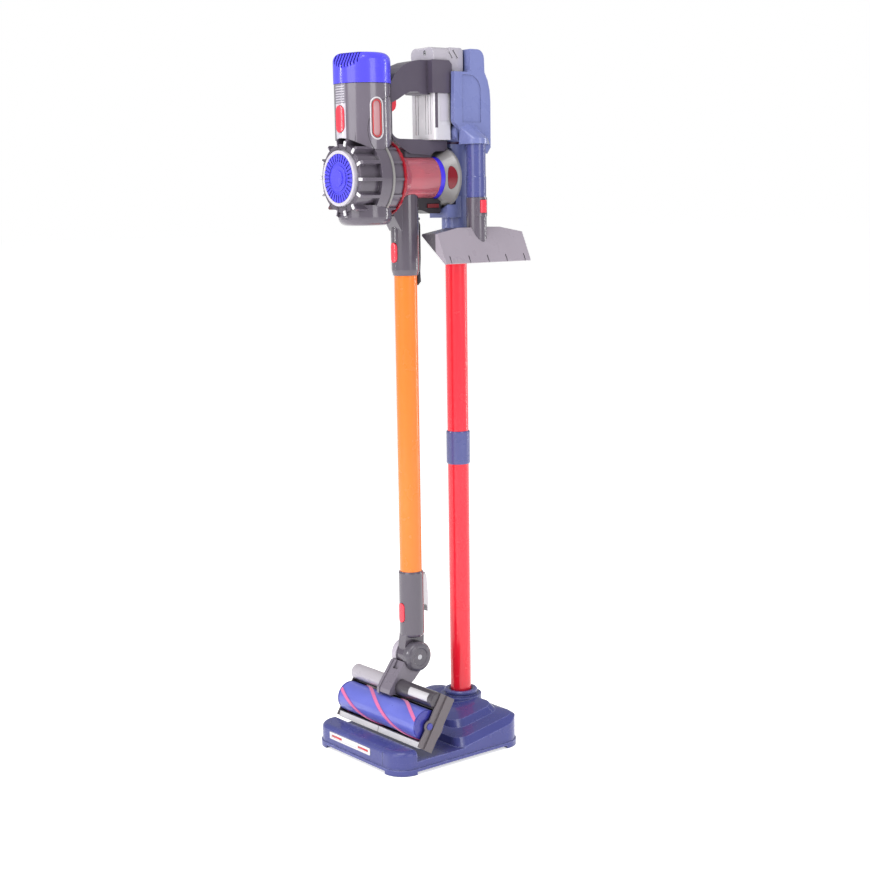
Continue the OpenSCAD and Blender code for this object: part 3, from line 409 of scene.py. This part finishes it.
@dataclass(frozen=True)
class SilverPaint(Finish):
    """Sprayed silver lacquer over plastic, with fine flakes."""

    name: str
    colour: Colour
    metal: float
    roughness: float = 0.34

    def build(self) -> bpy.types.Material:
        """Make the material from fine flakes under a thin coat.

        Returns:
            The finished material.
        """
        book = NodeBook(self.name)
        flake = book.noise(scale=5200.0, detail=1.0)
        book.tint(self.colour, shifted(self.colour, -0.05), flake)
        haze = book.noise(scale=40.0)
        book.rough(haze, self.roughness - 0.05, self.roughness + 0.08)
        book.uniform(Metallic=self.metal, Coat_Weight=0.3, Coat_Roughness=0.12)
        book.bump(flake, strength=0.04, distance=0.0002)
        return book.material


@dataclass(frozen=True)
class BareMetal(Finish):
    """Turned or drawn metal with fine lines."""

    name: str
    colour: Colour
    roughness: float = 0.3

    def build(self) -> bpy.types.Material:
        """Make the material from lines drawn out along Z.

        Returns:
            The finished material.
        """
        book = NodeBook(self.name)
        lines = book.noise(scale=2400.0, detail=2.0, stretch=(1.0, 1.0, 0.05))
        book.tint(self.colour, shifted(self.colour, -0.08), lines)
        book.rough(lines, self.roughness - 0.06, self.roughness + 0.1)
        book.uniform(Metallic=1.0)
        book.bump(lines, strength=0.08, distance=0.0002)
        return book.material


@dataclass(frozen=True)
class SoftSurface(Finish):
    """Rubber or plush: matt, with a sheen and a short nap."""

    name: str
    colour: Colour
    sheen: float
    nap_scale: float = 3000.0
    nap_depth: float = 0.5

    def build(self) -> bpy.types.Material:
        """Make the material from its nap and its sheen.

        Returns:
            The finished material.
        """
        book = NodeBook(self.name)
        nap = book.noise(scale=self.nap_scale)
        book.tint(self.colour, shifted(self.colour, -0.09), nap)
        book.rough(nap, 0.7, 0.9)
        book.uniform(Sheen_Weight=self.sheen, Sheen_Roughness=0.5)
        book.bump(nap, strength=self.nap_depth, distance=0.0006)
        return book.material


class Palette:
    """Every finish on the toy, made once and shared by its pieces."""

    def __init__(self) -> None:
        """List the finishes: name, colour, roughness and coat, then what sets each apart."""
        # The pole is blue where it stands inside the dock
        in_dock = Zone("Z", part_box("dock_shell")[0][2] + 2.0 * MM, PAST_END, (0.42, 0.45, 0.66))
        # The inner end of the hood is dark
        hood_end = Zone("X", 0.0, 43.5 * MM, (0.27, 0.25, 0.28))
        # The battery case is brightest on its front face and painted darker behind it as shade; it
        # is grey above the handle
        battery_side_shade = Zone("Y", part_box("battery_case")[0][1] + 3.0 * MM, PAST_END,
                            (0.78, 0.77, 0.80), blur=2.0 * MM)
        battery_top = Zone("Z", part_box("handle_left")[1][2] - 12.0 * MM, PAST_END,
                           (0.68, 0.66, 0.70), blur=4.0 * MM)
        # The front strip is darker under its ribs, above the power button
        rib_ground = Zone("Z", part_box("power_button")[1][2] + 2.0 * MM, PAST_END,
                          (0.50, 0.48, 0.53))
        # The left lengths of the head's bar and of the joint are light
        bar_left = Zone("X", -PAST_END, -12.0 * MM, (0.70, 0.68, 0.71))
        joint_left = Zone("X", -PAST_END, 0.0, (0.72, 0.69, 0.74))
        # The bin's flare is a deeper red, which fades towards the bin
        flare = Zone("Y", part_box("dust_bin")[0][1] - 10.0 * MM,
                     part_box("dust_bin")[0][1] + 12.0 * MM, (0.86, 0.10, 0.22), blur=6.0 * MM)
        satin, spark = Grain.SATIN, Grain.SPARK
        self.finishes: Dict[str, Finish] = {
            "blue": MouldedPlastic("dock_blue", (0.46, 0.49, 0.70), 0.28, 0.35),
            # The base's edges carry a strong painted highlight along its steps and lips
            "base_blue": MouldedPlastic("base_blue", (0.285, 0.30, 0.545), 0.24, 0.25,
                                        edge_wear_and_highlight=0.32, edge=0.0019, index=1.36),
            "coupler": MouldedPlastic("coupler_blue", (0.31, 0.33, 0.56), 0.24, 0.45),
            "violet": MouldedPlastic("cap_violet", (0.32, 0.29, 0.93), 0.26, 0.4),
            "pole_red": MouldedPlastic("pole_red", (0.97, 0.13, 0.22), 0.22, 0.4,
                                       zones=(in_dock,)),
            "orange": MouldedPlastic("wand_orange", (0.95, 0.49, 0.12), 0.22, 0.4),
            "dark": MouldedPlastic("body_charcoal", (0.37, 0.34, 0.39), 0.2, 0.7, satin, 0.16),
            "collar": MouldedPlastic("collar_charcoal", (0.34, 0.31, 0.36), 0.18, 0.8, satin, 0.16),
            "case": MouldedPlastic("case_charcoal", (0.42, 0.39, 0.44), 0.2, 0.7, satin, 0.16),
            "neck": MouldedPlastic("neck_charcoal", (0.48, 0.45, 0.50), 0.28, 0.4, satin),
            "grip": MouldedPlastic("grip_charcoal", (0.33, 0.30, 0.36), 0.34, 0.2, spark),
            "grey": MouldedPlastic("trim_grey", (0.55, 0.54, 0.54), 0.32, 0.25, satin),
            "pale": MouldedPlastic("trim_pale", (0.84, 0.82, 0.84), 0.3, 0.3, satin),
            "hood": MouldedPlastic("hood_grey", (0.61, 0.575, 0.62), 0.3, 0.3, satin,
                                   zones=(hood_end,)),
            "black": MouldedPlastic("part_black", (0.18, 0.16, 0.19), 0.38, 0.1, spark),
            "plate": MouldedPlastic("plate_brown_grey", (0.41, 0.38, 0.40), 0.34, 0.2, satin),
            "white": MouldedPlastic("strip_white", (0.87, 0.86, 0.87), 0.3, 0.3),
            "button_red": MouldedPlastic("button_red", (0.93, 0.22, 0.30), 0.24, 0.4),
            "dark_red": MouldedPlastic("latch_dark_red", (0.46, 0.10, 0.14), 0.35, 0.2),
            "lens_red": MouldedPlastic("lens_red", (0.46, 0.02, 0.11), 0.2, 0.4),
            "badge": MouldedPlastic("badge_rose", (0.74, 0.55, 0.57), 0.3, 0.4),
            "mesh_red": MouldedPlastic("mesh_rose", (0.90, 0.40, 0.40), 0.4, 0.2, spark),
            "navy": MouldedPlastic("disc_navy", (0.25, 0.25, 0.62), 0.3, 0.3),
            "band_blue": MouldedPlastic("band_blue", (0.27, 0.20, 0.86), 0.26, 0.4),
            "silver": SilverPaint("case_silver", (0.95, 0.94, 0.96), metal=0.05),
            "battery": MouldedPlastic("battery_silver", (0.93, 0.92, 0.94), 0.24, 0.4,
                                      edge_wear_and_highlight=0.05, zones=(battery_side_shade, battery_top)),
            "panel": SilverPaint("panel_silver", (0.80, 0.78, 0.82), metal=0.1),
            "strip": MouldedPlastic("strip_silver", (0.78, 0.76, 0.80), 0.3, 0.3,
                                    zones=(rib_ground,)),
            "bar": MouldedPlastic("bar_grey", (0.30, 0.28, 0.31), 0.3, 0.35, satin,
                                  zones=(bar_left,)),
            "drum": MouldedPlastic("drum_grey", (0.36, 0.34, 0.38), 0.28, 0.4, satin,
                                   zones=(joint_left,)),
            "trim_red": MouldedPlastic("label_red", (0.80, 0.22, 0.24), 0.3, 0.3),
            "trim_silver": SilverPaint("trim_silver", (0.84, 0.83, 0.85), metal=0.3),
            "clear_red": ClearPlastic("bin_clear_red", (0.98, 0.60, 0.66),
                                      clearness=0.66, roughness=0.12, zones=(flare,)),
            "clear_blue": ClearPlastic("roller_clear_blue", (0.45, 0.48, 0.86),
                                       clearness=0.12, roughness=0.3),
            "plush": SoftSurface("roller_plush_pink", (0.90, 0.42, 0.66), sheen=0.5),
            "rubber": SoftSurface("pad_rubber", (0.12, 0.12, 0.13), sheen=0.1,
                                  nap_scale=1800.0, nap_depth=0.3),
            "steel": BareMetal("screw_steel", (0.72, 0.72, 0.74)),
            "cell": MouldedPlastic("cell_wrap", (0.18, 0.32, 0.66), 0.25, 0.5),
        }
        self.made: Dict[str, bpy.types.Material] = {}

    def get(self, key: str) -> bpy.types.Material:
        """Give the material of one finish, made on first use.

        Args:
            key: The finish's key.

        Returns:
            The shared material.
        """
        if key not in self.made:
            self.made[key] = self.finishes[key].build()
        return self.made[key]


def dress(node: str, finish: str, palette: Palette) -> None:
    """Give a rigid piece its finish.

    Args:
        node: The piece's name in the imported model.
        finish: The palette's key.
        palette: The shared finishes.
    """
    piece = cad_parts[node]
    material = palette.get(finish)
    if not piece.material_slots:
        piece.data.materials.append(material)
    for place in piece.material_slots:
        place.material = material
    LOG.info("dressed %s in %s", node, finish)


def finish_piece(piece: bpy.types.Object, finish: str, palette: Palette,
                 body: str) -> None:
    """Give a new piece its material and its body.

    Args:
        piece: The piece.
        finish: The palette's key.
        palette: The shared finishes.
        body: The body that carries it.
    """
    piece.data.materials.append(palette.get(finish))
    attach(piece, body)
    LOG.info("added %s on %s", piece.name, body)


def solid(name: str, mesh: bmesh.types.BMesh, smooth: bool = True) -> bpy.types.Object:
    """Turn a bmesh into an object of the scene, with its faces turned outward.

    Args:
        name: The piece's name.
        mesh: The bmesh, which is freed.
        smooth: Whether its faces shade smooth.

    Returns:
        The new object.
    """
    bmesh.ops.recalc_face_normals(mesh, faces=mesh.faces[:])
    data = bpy.data.meshes.new(name)
    mesh.to_mesh(data)
    mesh.free()
    for face in data.polygons:
        face.use_smooth = smooth
    piece = bpy.data.objects.new(name, data)
    bpy.context.scene.collection.objects.link(piece)
    return piece


def skin(mesh: bmesh.types.BMesh, rings: Sequence[Sequence[bmesh.types.BMVert]],
         closed: bool = False) -> None:
    """Join rings of vertices with faces, and cap the two ends of an open row.

    Args:
        mesh: The bmesh that holds the vertices.
        rings: The rings in order, each with the same count of vertices.
        closed: Whether the last ring joins the first.
    """
    pairs = list(zip(rings, rings[1:]))
    if closed:
        pairs.append((rings[-1], rings[0]))
    for a, b in pairs:
        for k in range(len(a)):
            beside = (k + 1) % len(a)
            mesh.faces.new((a[k], a[beside], b[beside], b[k]))
    if not closed:
        mesh.faces.new(list(reversed(rings[0])))
        mesh.faces.new(rings[-1])


def rod(name: str, path: Sequence[Vector], normals: Sequence[Vector], wide: float, high: float,
        closed: bool = True) -> bpy.types.Object:
    """Sweep a rounded strip along a path that lies on a surface.

    Args:
        name: The piece's name.
        path: Points of the strip's middle line, in metres.
        normals: The surface's outward direction at each point.
        wide: Half the strip's width.
        high: Half the strip's height.
        closed: Whether the last point joins the first.

    Returns:
        The new object.
    """
    sides = 8
    mesh = bmesh.new()
    rings: List[List[bmesh.types.BMVert]] = []
    count = len(path)
    for i, point in enumerate(path):
        before = path[(i - 1) % count] if closed or i > 0 else point
        after = path[(i + 1) % count] if closed or i < count - 1 else point
        ahead = (after - before).normalized()
        across = ahead.cross(normals[i]).normalized()
        ring = []
        for k in range(sides):
            turn = 2 * math.pi * k / sides
            reach = across * (wide * math.cos(turn)) + normals[i] * (high * math.sin(turn))
            ring.append(mesh.verts.new(point + reach))
        rings.append(ring)
    skin(mesh, rings, closed)
    return solid(name, mesh)


def merged(name: str, parts: Sequence[bpy.types.Object]) -> bpy.types.Object:
    """Make one piece out of several, which are removed.

    Args:
        name: The new piece's name.
        parts: The objects to take in, with nothing moved or turned.

    Returns:
        The new object.
    """
    mesh = bmesh.new()
    for part in parts:
        mesh.from_mesh(part.data)
        bpy.data.objects.remove(part)
    return solid(name, mesh)


def stadium(half_wide: float, half_high: float) -> List[Tuple[float, float]]:
    """Give the outline of a slot with round ends, standing upright.

    Args:
        half_wide: Half its width, which is the radius of its ends.
        half_high: Half its height over all.

    Returns:
        Points as pairs, anticlockwise.
    """
    round_steps, straight_steps = 12, 8
    out: List[Tuple[float, float]] = []
    for side in (-1, 1):
        middle = -side * (half_high - half_wide)
        start = 0.0 if side < 0 else math.pi
        for i in range(round_steps + 1):
            turn = start + math.pi * i / round_steps
            out.append((half_wide * math.cos(turn), middle + half_wide * math.sin(turn)))
        for k in range(1, straight_steps):
            out.append((side * half_wide, middle * (1 - 2 * k / straight_steps)))
    return out


@dataclass
class Assembly:
    """A group of the toy's pieces that are finished together."""

    palette: Palette
    finishes: ClassVar[Dict[str, str]] = {}

    def build(self) -> None:
        """Dress the rigid pieces, then add the trim."""
        for node, finish in self.finishes.items():
            dress(node, finish, self.palette)
        self.trim()

    def trim(self) -> None:
        """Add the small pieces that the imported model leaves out."""


@dataclass
class Stand(Assembly):
    """The base, the pole in two lengths, and the dock on top."""

    # The bars on the label plate
    bar_half_tall: float = 1.4 * MM
    bar_proud: float = 0.35 * MM
    bar_outer_margin: float = 4.5 * MM
    bar_inner_margin: float = 24.0 * MM

    finishes: ClassVar[Dict[str, str]] = {
        "stand_base": "base_blue",
        "base_cover": "base_blue",
        "base_pads": "rubber",
        "base_screws": "steel",
        "label_plate": "white",
        "lower_pole": "pole_red",
        "pole_coupler": "coupler",
        "upper_pole": "pole_red",
        "dock_shell": "blue",
        "tool_peg": "coupler",
        "dock_screws": "steel",
    }

    def trim(self) -> None:
        """Add the two plain red bars on the label plate."""
        low, high = (Vector(c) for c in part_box("label_plate"))
        front = Vector((0.0, -1.0, 0.0))
        middle = (low + high) / 2
        half_plate = high.x - middle.x
        reaches = (half_plate - self.bar_outer_margin, half_plate - self.bar_inner_margin)
        y = low.y + self.bar_proud
        for side in Side:
            points = [Vector((middle.x + side.value * x, y, middle.z)) for x in reaches]
            bar = rod(f"label_bar_{side.name.lower()}", points, [front] * 2,
                      self.bar_half_tall, self.bar_proud, closed=False)
            finish_piece(bar, "trim_red", self.palette, "stand")


@dataclass
class HandUnit(Assembly):
    """The motor housing, cyclone, dust bin, handle and battery case."""

    # The rim and the thin line round each badge
    rim_inset: float = 0.3 * MM
    rim_half_wide: float = 0.9 * MM
    line_inset: float = 3.0 * MM
    line_half_wide: float = 0.6 * MM
    ring_half_high: float = 0.8 * MM
    ring_sunk: float = 0.5 * MM
    # The ribs across the front strip
    rib_count: int = 7
    rib_half_wide: float = 0.55 * MM
    rib_half_high: float = 0.4 * MM
    rib_side_margin: float = 1.2 * MM
    rib_foot_margin: float = 2.5 * MM
    rib_top_margin: float = 1.5 * MM
    # The saddle, with heights from the bin's axis
    saddle_radius: float = 23.9 * MM
    saddle_top: float = 29.5 * MM
    saddle_half_wide: float = 9.0 * MM
    saddle_chamfer: float = 1.2 * MM
    # How much of the chamfer also lifts the saddle's underside
    saddle_underside: float = 0.3
    # Lengths in front of the bin's rear end, each with its share of the chamfer
    saddle_sections: Tuple[Tuple[float, float], ...] = (
        (39.0 * MM, 1.0), (37.5 * MM, 0.0), (2.0 * MM, 0.0), (0.5 * MM, 1.0))

    finishes: ClassVar[Dict[str, str]] = {
        "motor_housing": "case",
        "front_strip": "strip",
        "power_button": "button_red",
        "side_badges": "badge",
        "filter_cap": "violet",
        "cyclone_drum": "dark",
        "fin_tips": "silver",
        "seam_ring": "grey",
        "filter_ring": "panel",
        "filter_disc": "violet",
        "dust_bin": "clear_red",
        "bin_mesh": "mesh_red",
        "bin_band": "band_blue",
        "bin_cap": "grey",
        "bin_lens": "lens_red",
        "bin_hinge": "black",
        "bin_release": "dark_red",
        "handle_left": "grip",
        "handle_right": "grip",
        "trigger": "button_red",
        "battery_case": "battery",
        "battery_rails": "dark",
        "battery_panels": "panel",
        "battery_cells": "cell",
        "battery_screws": "steel",
        "inlet_collar": "collar",
        "inlet_button": "button_red",
        "inlet_lever": "black",
        "motor": "steel",
        "fan": "grey",
    }

    def trim(self) -> None:
        """Ring the badges, rib the strip and set the saddle over the bin."""
        self.badge_rims()
        self.strip_ribs()
        self.saddle()

    def housing_axis(self) -> Tuple[Vector, float]:
        """Give a point on the motor housing's upright axis.

        Returns:
            The point at ground level, and the housing's radius.
        """
        low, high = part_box("motor_housing")
        radius = (high[0] - low[0]) / 2
        middle_x = (low[0] + high[0]) / 2
        return Vector((middle_x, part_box("front_strip")[0][1] + radius, 0.0)), radius

    def badge_rims(self) -> None:
        """Lay a bright rim and a thin red line round each badge, bent to the housing."""
        low, high = (Vector(c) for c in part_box("side_badges"))
        axis, across = self.housing_axis()
        middle = (low + high) / 2
        rings = (
            ("rim", self.rim_inset, self.rim_half_wide, "trim_silver", "silver"),
            ("line", self.line_inset, self.line_half_wide, "trim_red", "button_red"),
        )
        for kind, inset, half_wide, finish, slot in rings:
            outline = stadium((high.y - low.y) / 2 - inset, (high.z - low.z) / 2 - inset)
            for side in Side:
                path, normals = [], []
                for dy, dz in outline:
                    y = middle.y + dy - axis.y
                    x = side.value * math.sqrt(max(0.0, across ** 2 - y ** 2))
                    normals.append(Vector((x, y, 0.0)).normalized())
                    spot = Vector((x, axis.y + y, middle.z + dz))
                    path.append(spot - normals[-1] * self.ring_sunk)
                ring = rod(f"badge_{kind}_{side.name.lower()}", path, normals,
                           half_wide, self.ring_half_high)
                finish_piece(ring, finish, self.palette, "cleaner")

    def strip_ribs(self) -> None:
        """Raise the light ribs across the front strip, above the power button."""
        axis, across = self.housing_axis()
        high = Vector(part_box("front_strip")[1])
        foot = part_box("power_button")[1][2] + self.rib_foot_margin
        top = high.z - self.rib_top_margin
        half = high.x - axis.x - self.rib_side_margin
        steps = 3
        ribs = []
        for k in range(self.rib_count):
            lift = Vector((0.0, 0.0, foot + (top - foot) * (k + 0.5) / self.rib_count))
            normals = []
            for i in range(-steps, steps + 1):
                x = half * i / steps
                normals.append(Vector((x, -math.sqrt(across ** 2 - x ** 2), 0.0)).normalized())
            path = [axis + lift + normal * across for normal in normals]
            ribs.append(rod(f"rib_{k}", path, normals,
                            self.rib_half_wide, self.rib_half_high, closed=False))
        finish_piece(merged("strip_ribs", ribs), "panel", self.palette, "cleaner")

    def saddle(self) -> None:
        """Fill the space between the bin and the handle's bridge with its curved saddle."""
        low, high = (Vector(c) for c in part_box("dust_bin"))
        axis = (low + high) / 2
        steps = 8
        mesh = bmesh.new()
        rings = []
        for back, share in self.saddle_sections:
            y = high.y - back
            inset = self.saddle_chamfer * share
            half = self.saddle_half_wide - inset
            foot = axis.z + inset * self.saddle_underside
            ring = [mesh.verts.new((x, y, axis.z + self.saddle_top)) for x in (half, -half)]
            for i in range(steps + 1):
                x = -half + 2 * half * i / steps
                z = foot + math.sqrt(self.saddle_radius ** 2 - x ** 2)
                ring.append(mesh.verts.new((x, y, z)))
            rings.append(ring)
        skin(mesh, rings)
        finish_piece(solid("bin_saddle", mesh, False), "grip", self.palette, "cleaner")


@dataclass
class WandAndHead(Assembly):
    """The wand, its lower collar, the tilting joint and the roller head.

    The head leans back round the roller's axis. Its own frame, in which the sizes
    of its trim are given, stands on that axis, in millimetres and degrees.
    """

    roller_middle: Point = (0.0, -46.0, 51.5)
    lean: float = -31.8
    # The tray behind the roller, bent round the roller's axis
    tray_inner: float = 20.4
    tray_outer: float = 21.8
    tray_start: float = -50.0
    tray_sweep: float = 34.0
    tray_half_long: float = 78.0
    # The bright plate, bent round the bar's axis
    bar_y: float = -3.2
    bar_z: float = 30.5
    plate_inner: float = 9.5
    plate_outer: float = 10.0
    plate_eased: float = 0.45
    plate_start: float = -38.0
    plate_sweep: float = 62.0
    plate_left: float = 36.0
    plate_long: float = 35.0

    finishes: ClassVar[Dict[str, str]] = {
        "wand": "orange",
        "lower_collar": "collar",
        "collar_button": "button_red",
        "collar_lever": "pale",
        "pivot_pin": "steel",
        "joint_drum": "drum",
        "head_neck": "neck",
        "head_bar": "bar",
        "head_shell": "dark",
        "end_plate_left": "plate",
        "end_plate_right": "plate",
        "head_strip": "white",
        "roller": "clear_blue",
        "roller_strips": "plush",
        "roller_ends": "navy",
    }

    def trim(self) -> None:
        """Add the bar's bright plate and the tray behind the roller."""
        self.bar_plate()
        self.under_tray()

    def on_head(self, x: float, y: float, z: float) -> Vector:
        """Turn a point of the head's own frame into the model's metres."""
        lean = Matrix.Rotation(math.radians(self.lean), 4, "X")
        return Vector(self.roller_middle) * MM + lean @ (Vector((x, y, z)) * MM)

    def under_tray(self) -> None:
        """Add the curved tray behind the roller, down to the front strip."""
        steps = 8
        step = self.tray_sweep / steps
        end = self.tray_start - self.tray_sweep
        section = [(self.tray_inner, self.tray_start - step * i) for i in range(steps + 1)]
        section += [(self.tray_outer, end + step * i) for i in range(steps + 1)]
        mesh = bmesh.new()
        ends = []
        for side in Side:
            x = side.value * self.tray_half_long
            ring = []
            for radius, angle in section:
                turn = math.radians(angle)
                spot = self.on_head(x, radius * math.cos(turn), radius * math.sin(turn))
                ring.append(mesh.verts.new(spot))
            ends.append(ring)
        skin(mesh, ends)
        finish_piece(solid("under_tray", mesh, False), "black", self.palette, "head")

    def bar_plate(self) -> None:
        """Add the bright plate on the front of the bar, right of the neck."""
        rows, columns = 9, 5
        places = [self.plate_left + self.plate_long * k / (columns - 1) for k in range(columns)]
        mesh = bmesh.new()
        layers = []
        for face, eased in ((self.plate_inner, 0.0), (self.plate_outer, self.plate_eased)):
            grid = []
            for i in range(rows):
                turn = math.radians(self.plate_start + self.plate_sweep * i / (rows - 1))
                radius = face - eased if i in (0, rows - 1) else face
                y = self.bar_y - radius * math.cos(turn)
                z = self.bar_z + radius * math.sin(turn)
                grid.append([mesh.verts.new(self.on_head(x, y, z)) for x in places])
            layers.append(grid)
        for grid in layers:
            for i in range(rows - 1):
                for k in range(columns - 1):
                    a, b = grid[i], grid[i + 1]
                    mesh.faces.new((a[k], a[k + 1], b[k + 1], b[k]))
        low, high = layers
        for i in range(rows - 1):
            for k in (0, columns - 1):
                mesh.faces.new((low[i][k], low[i + 1][k], high[i + 1][k], high[i][k]))
        for k in range(columns - 1):
            for i in (0, rows - 1):
                mesh.faces.new((low[i][k], low[i][k + 1], high[i][k + 1], high[i][k]))
        plate = solid("bar_plate", mesh, False)
        finish_piece(plate, "trim_silver", self.palette, "head")


@dataclass
class WideNozzle(Assembly):
    """The wide nozzle that hangs on the dock's peg."""

    finishes: ClassVar[Dict[str, str]] = {
        "nozzle_neck": "dark",
        "nozzle_hood": "hood",
        "nozzle_button": "button_red",
    }


@dataclass(frozen=True)
class SoftBox:
    """One lamp of the studio: where it stands, what it faces, its size and its watts."""

    name: str
    place: Point
    target: Point
    size: Tuple[float, float]
    power: float

    def build(self) -> None:
        """Add the lamp to the scene."""
        data = bpy.data.lights.new(self.name, "AREA")
        data.shape = "RECTANGLE"
        data.size, data.size_y = self.size
        data.energy = self.power
        item = bpy.data.objects.new(self.name, data)
        item.location = self.place
        aim = Vector(self.target) - Vector(self.place)
        item.rotation_euler = aim.to_track_quat("-Z", "Y").to_euler()
        bpy.context.scene.collection.objects.link(item)


@dataclass
class Studio:
    """The floor, the lamps and the camera of the product photograph."""

    azimuth: float = 52.142
    pitch: float = 12.408
    roll: float = -1.01
    place: Point = (1.41482, -1.09958, 0.63433)
    lens: float = 64.692
    shift: Tuple[float, float] = (0.02257, 0.13037)
    floor_size: float = 60.0
    floor_glow: float = 0.55
    sky_light: float = 0.46

    # The key and the fills are wide, and the two strips edge the tubes
    lamps: ClassVar[Tuple[SoftBox, ...]] = (
        SoftBox("key_box", (0.45, -2.4, 1.4), (0.0, 0.0, 0.45), (1.6, 1.8), 23.0),
        SoftBox("rim_strip", (0.75, 2.4, 0.75), (0.0, 0.0, 0.45), (0.12, 2.0), 11.0),
        SoftBox("left_strip", (-1.45, -1.92, 1.05), (0.0, 0.0, 0.6), (0.12, 1.1), 9.0),
        SoftBox("side_box", (2.5, 0.3, 1.2), (0.0, 0.0, 0.4), (1.0, 1.4), 14.0),
        SoftBox("top_box", (0.5, -0.9, 2.3), (0.0, 0.0, 0.4), (1.2, 1.2), 25.0),
    )

    def build(self) -> None:
        """Set up the whole studio."""
        self.floor()
        self.world()
        for lamp in self.lamps:
            lamp.build()
        self.camera()
        bpy.context.scene.view_settings.view_transform = "Standard"

    def floor(self) -> None:
        """Lay the pale floor that takes the soft shadow."""
        book = NodeBook("studio_floor")
        dust = book.noise(scale=6.0, detail=2.0)
        book.tint((1.0, 1.0, 1.0), (0.992, 0.992, 0.992), dust)
        book.uniform(Roughness=0.9, Specular_IOR_Level=0.1,
                     Emission_Color=(1.0, 1.0, 1.0, 1.0), Emission_Strength=self.floor_glow)
        mesh = bpy.data.meshes.new("studio_floor")
        half = self.floor_size / 2
        corners = [(-half, -half, 0.0), (half, -half, 0.0), (half, half, 0.0), (-half, half, 0.0)]
        mesh.from_pydata(corners, [], [(0, 1, 2, 3)])
        mesh.materials.append(book.material)
        sheet = bpy.data.objects.new("studio_floor", mesh)
        sheet.location.z = -0.4 * MM
        bpy.context.scene.collection.objects.link(sheet)

    def world(self) -> None:
        """Light the scene from a plain sky that the camera sees as white."""
        sky = bpy.data.worlds.new("studio_sky")
        bpy.context.scene.world = sky
        sky.use_nodes = True
        tree = sky.node_tree
        tree.nodes.clear()
        out = tree.nodes.new("ShaderNodeOutputWorld")
        path = tree.nodes.new("ShaderNodeLightPath")
        mix = tree.nodes.new("ShaderNodeMixShader")
        tree.links.new(path.outputs["Is Camera Ray"], mix.inputs[0])
        for socket, strength in ((1, self.sky_light), (2, 1.0)):
            tone = tree.nodes.new("ShaderNodeBackground")
            tone.inputs["Color"].default_value = (1.0, 1.0, 1.0, 1.0)
            tone.inputs["Strength"].default_value = strength
            tree.links.new(tone.outputs[0], mix.inputs[socket])
        tree.links.new(mix.outputs[0], out.inputs["Surface"])

    def camera(self) -> None:
        """Place the camera that was fitted to the photograph."""
        az, tilt, roll = (math.radians(a) for a in (self.azimuth, self.pitch, self.roll))
        level = math.cos(tilt)
        ahead = Vector((-math.sin(az) * level, math.cos(az) * level, -math.sin(tilt)))
        right = Vector((math.cos(az), math.sin(az), 0.0))
        above = right.cross(ahead)
        across = right * math.cos(roll) + above * math.sin(roll)
        upward = above * math.cos(roll) - right * math.sin(roll)
        turn = Matrix((across, upward, -ahead)).transposed().to_4x4()
        data = bpy.data.cameras.new("photo_camera")
        data.lens = self.lens
        data.sensor_width = 36.0
        data.shift_x, data.shift_y = self.shift
        data.clip_start = 0.05
        item = bpy.data.objects.new("photo_camera", data)
        item.matrix_world = Matrix.Translation(self.place) @ turn
        bpy.context.scene.collection.objects.link(item)
        bpy.context.scene.camera = item


def main() -> None:
    """Build every sub-assembly in order, and the studio round it."""
    logging.basicConfig(level=logging.INFO, format="%(name)s: %(message)s")
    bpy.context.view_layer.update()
    palette = Palette()
    for assembly in (Stand(palette), HandUnit(palette), WandAndHead(palette), WideNozzle(palette)):
        assembly.build()
        LOG.info("built %s", type(assembly).__name__)
    Studio().build()


if __name__ == "__main__":
    main()
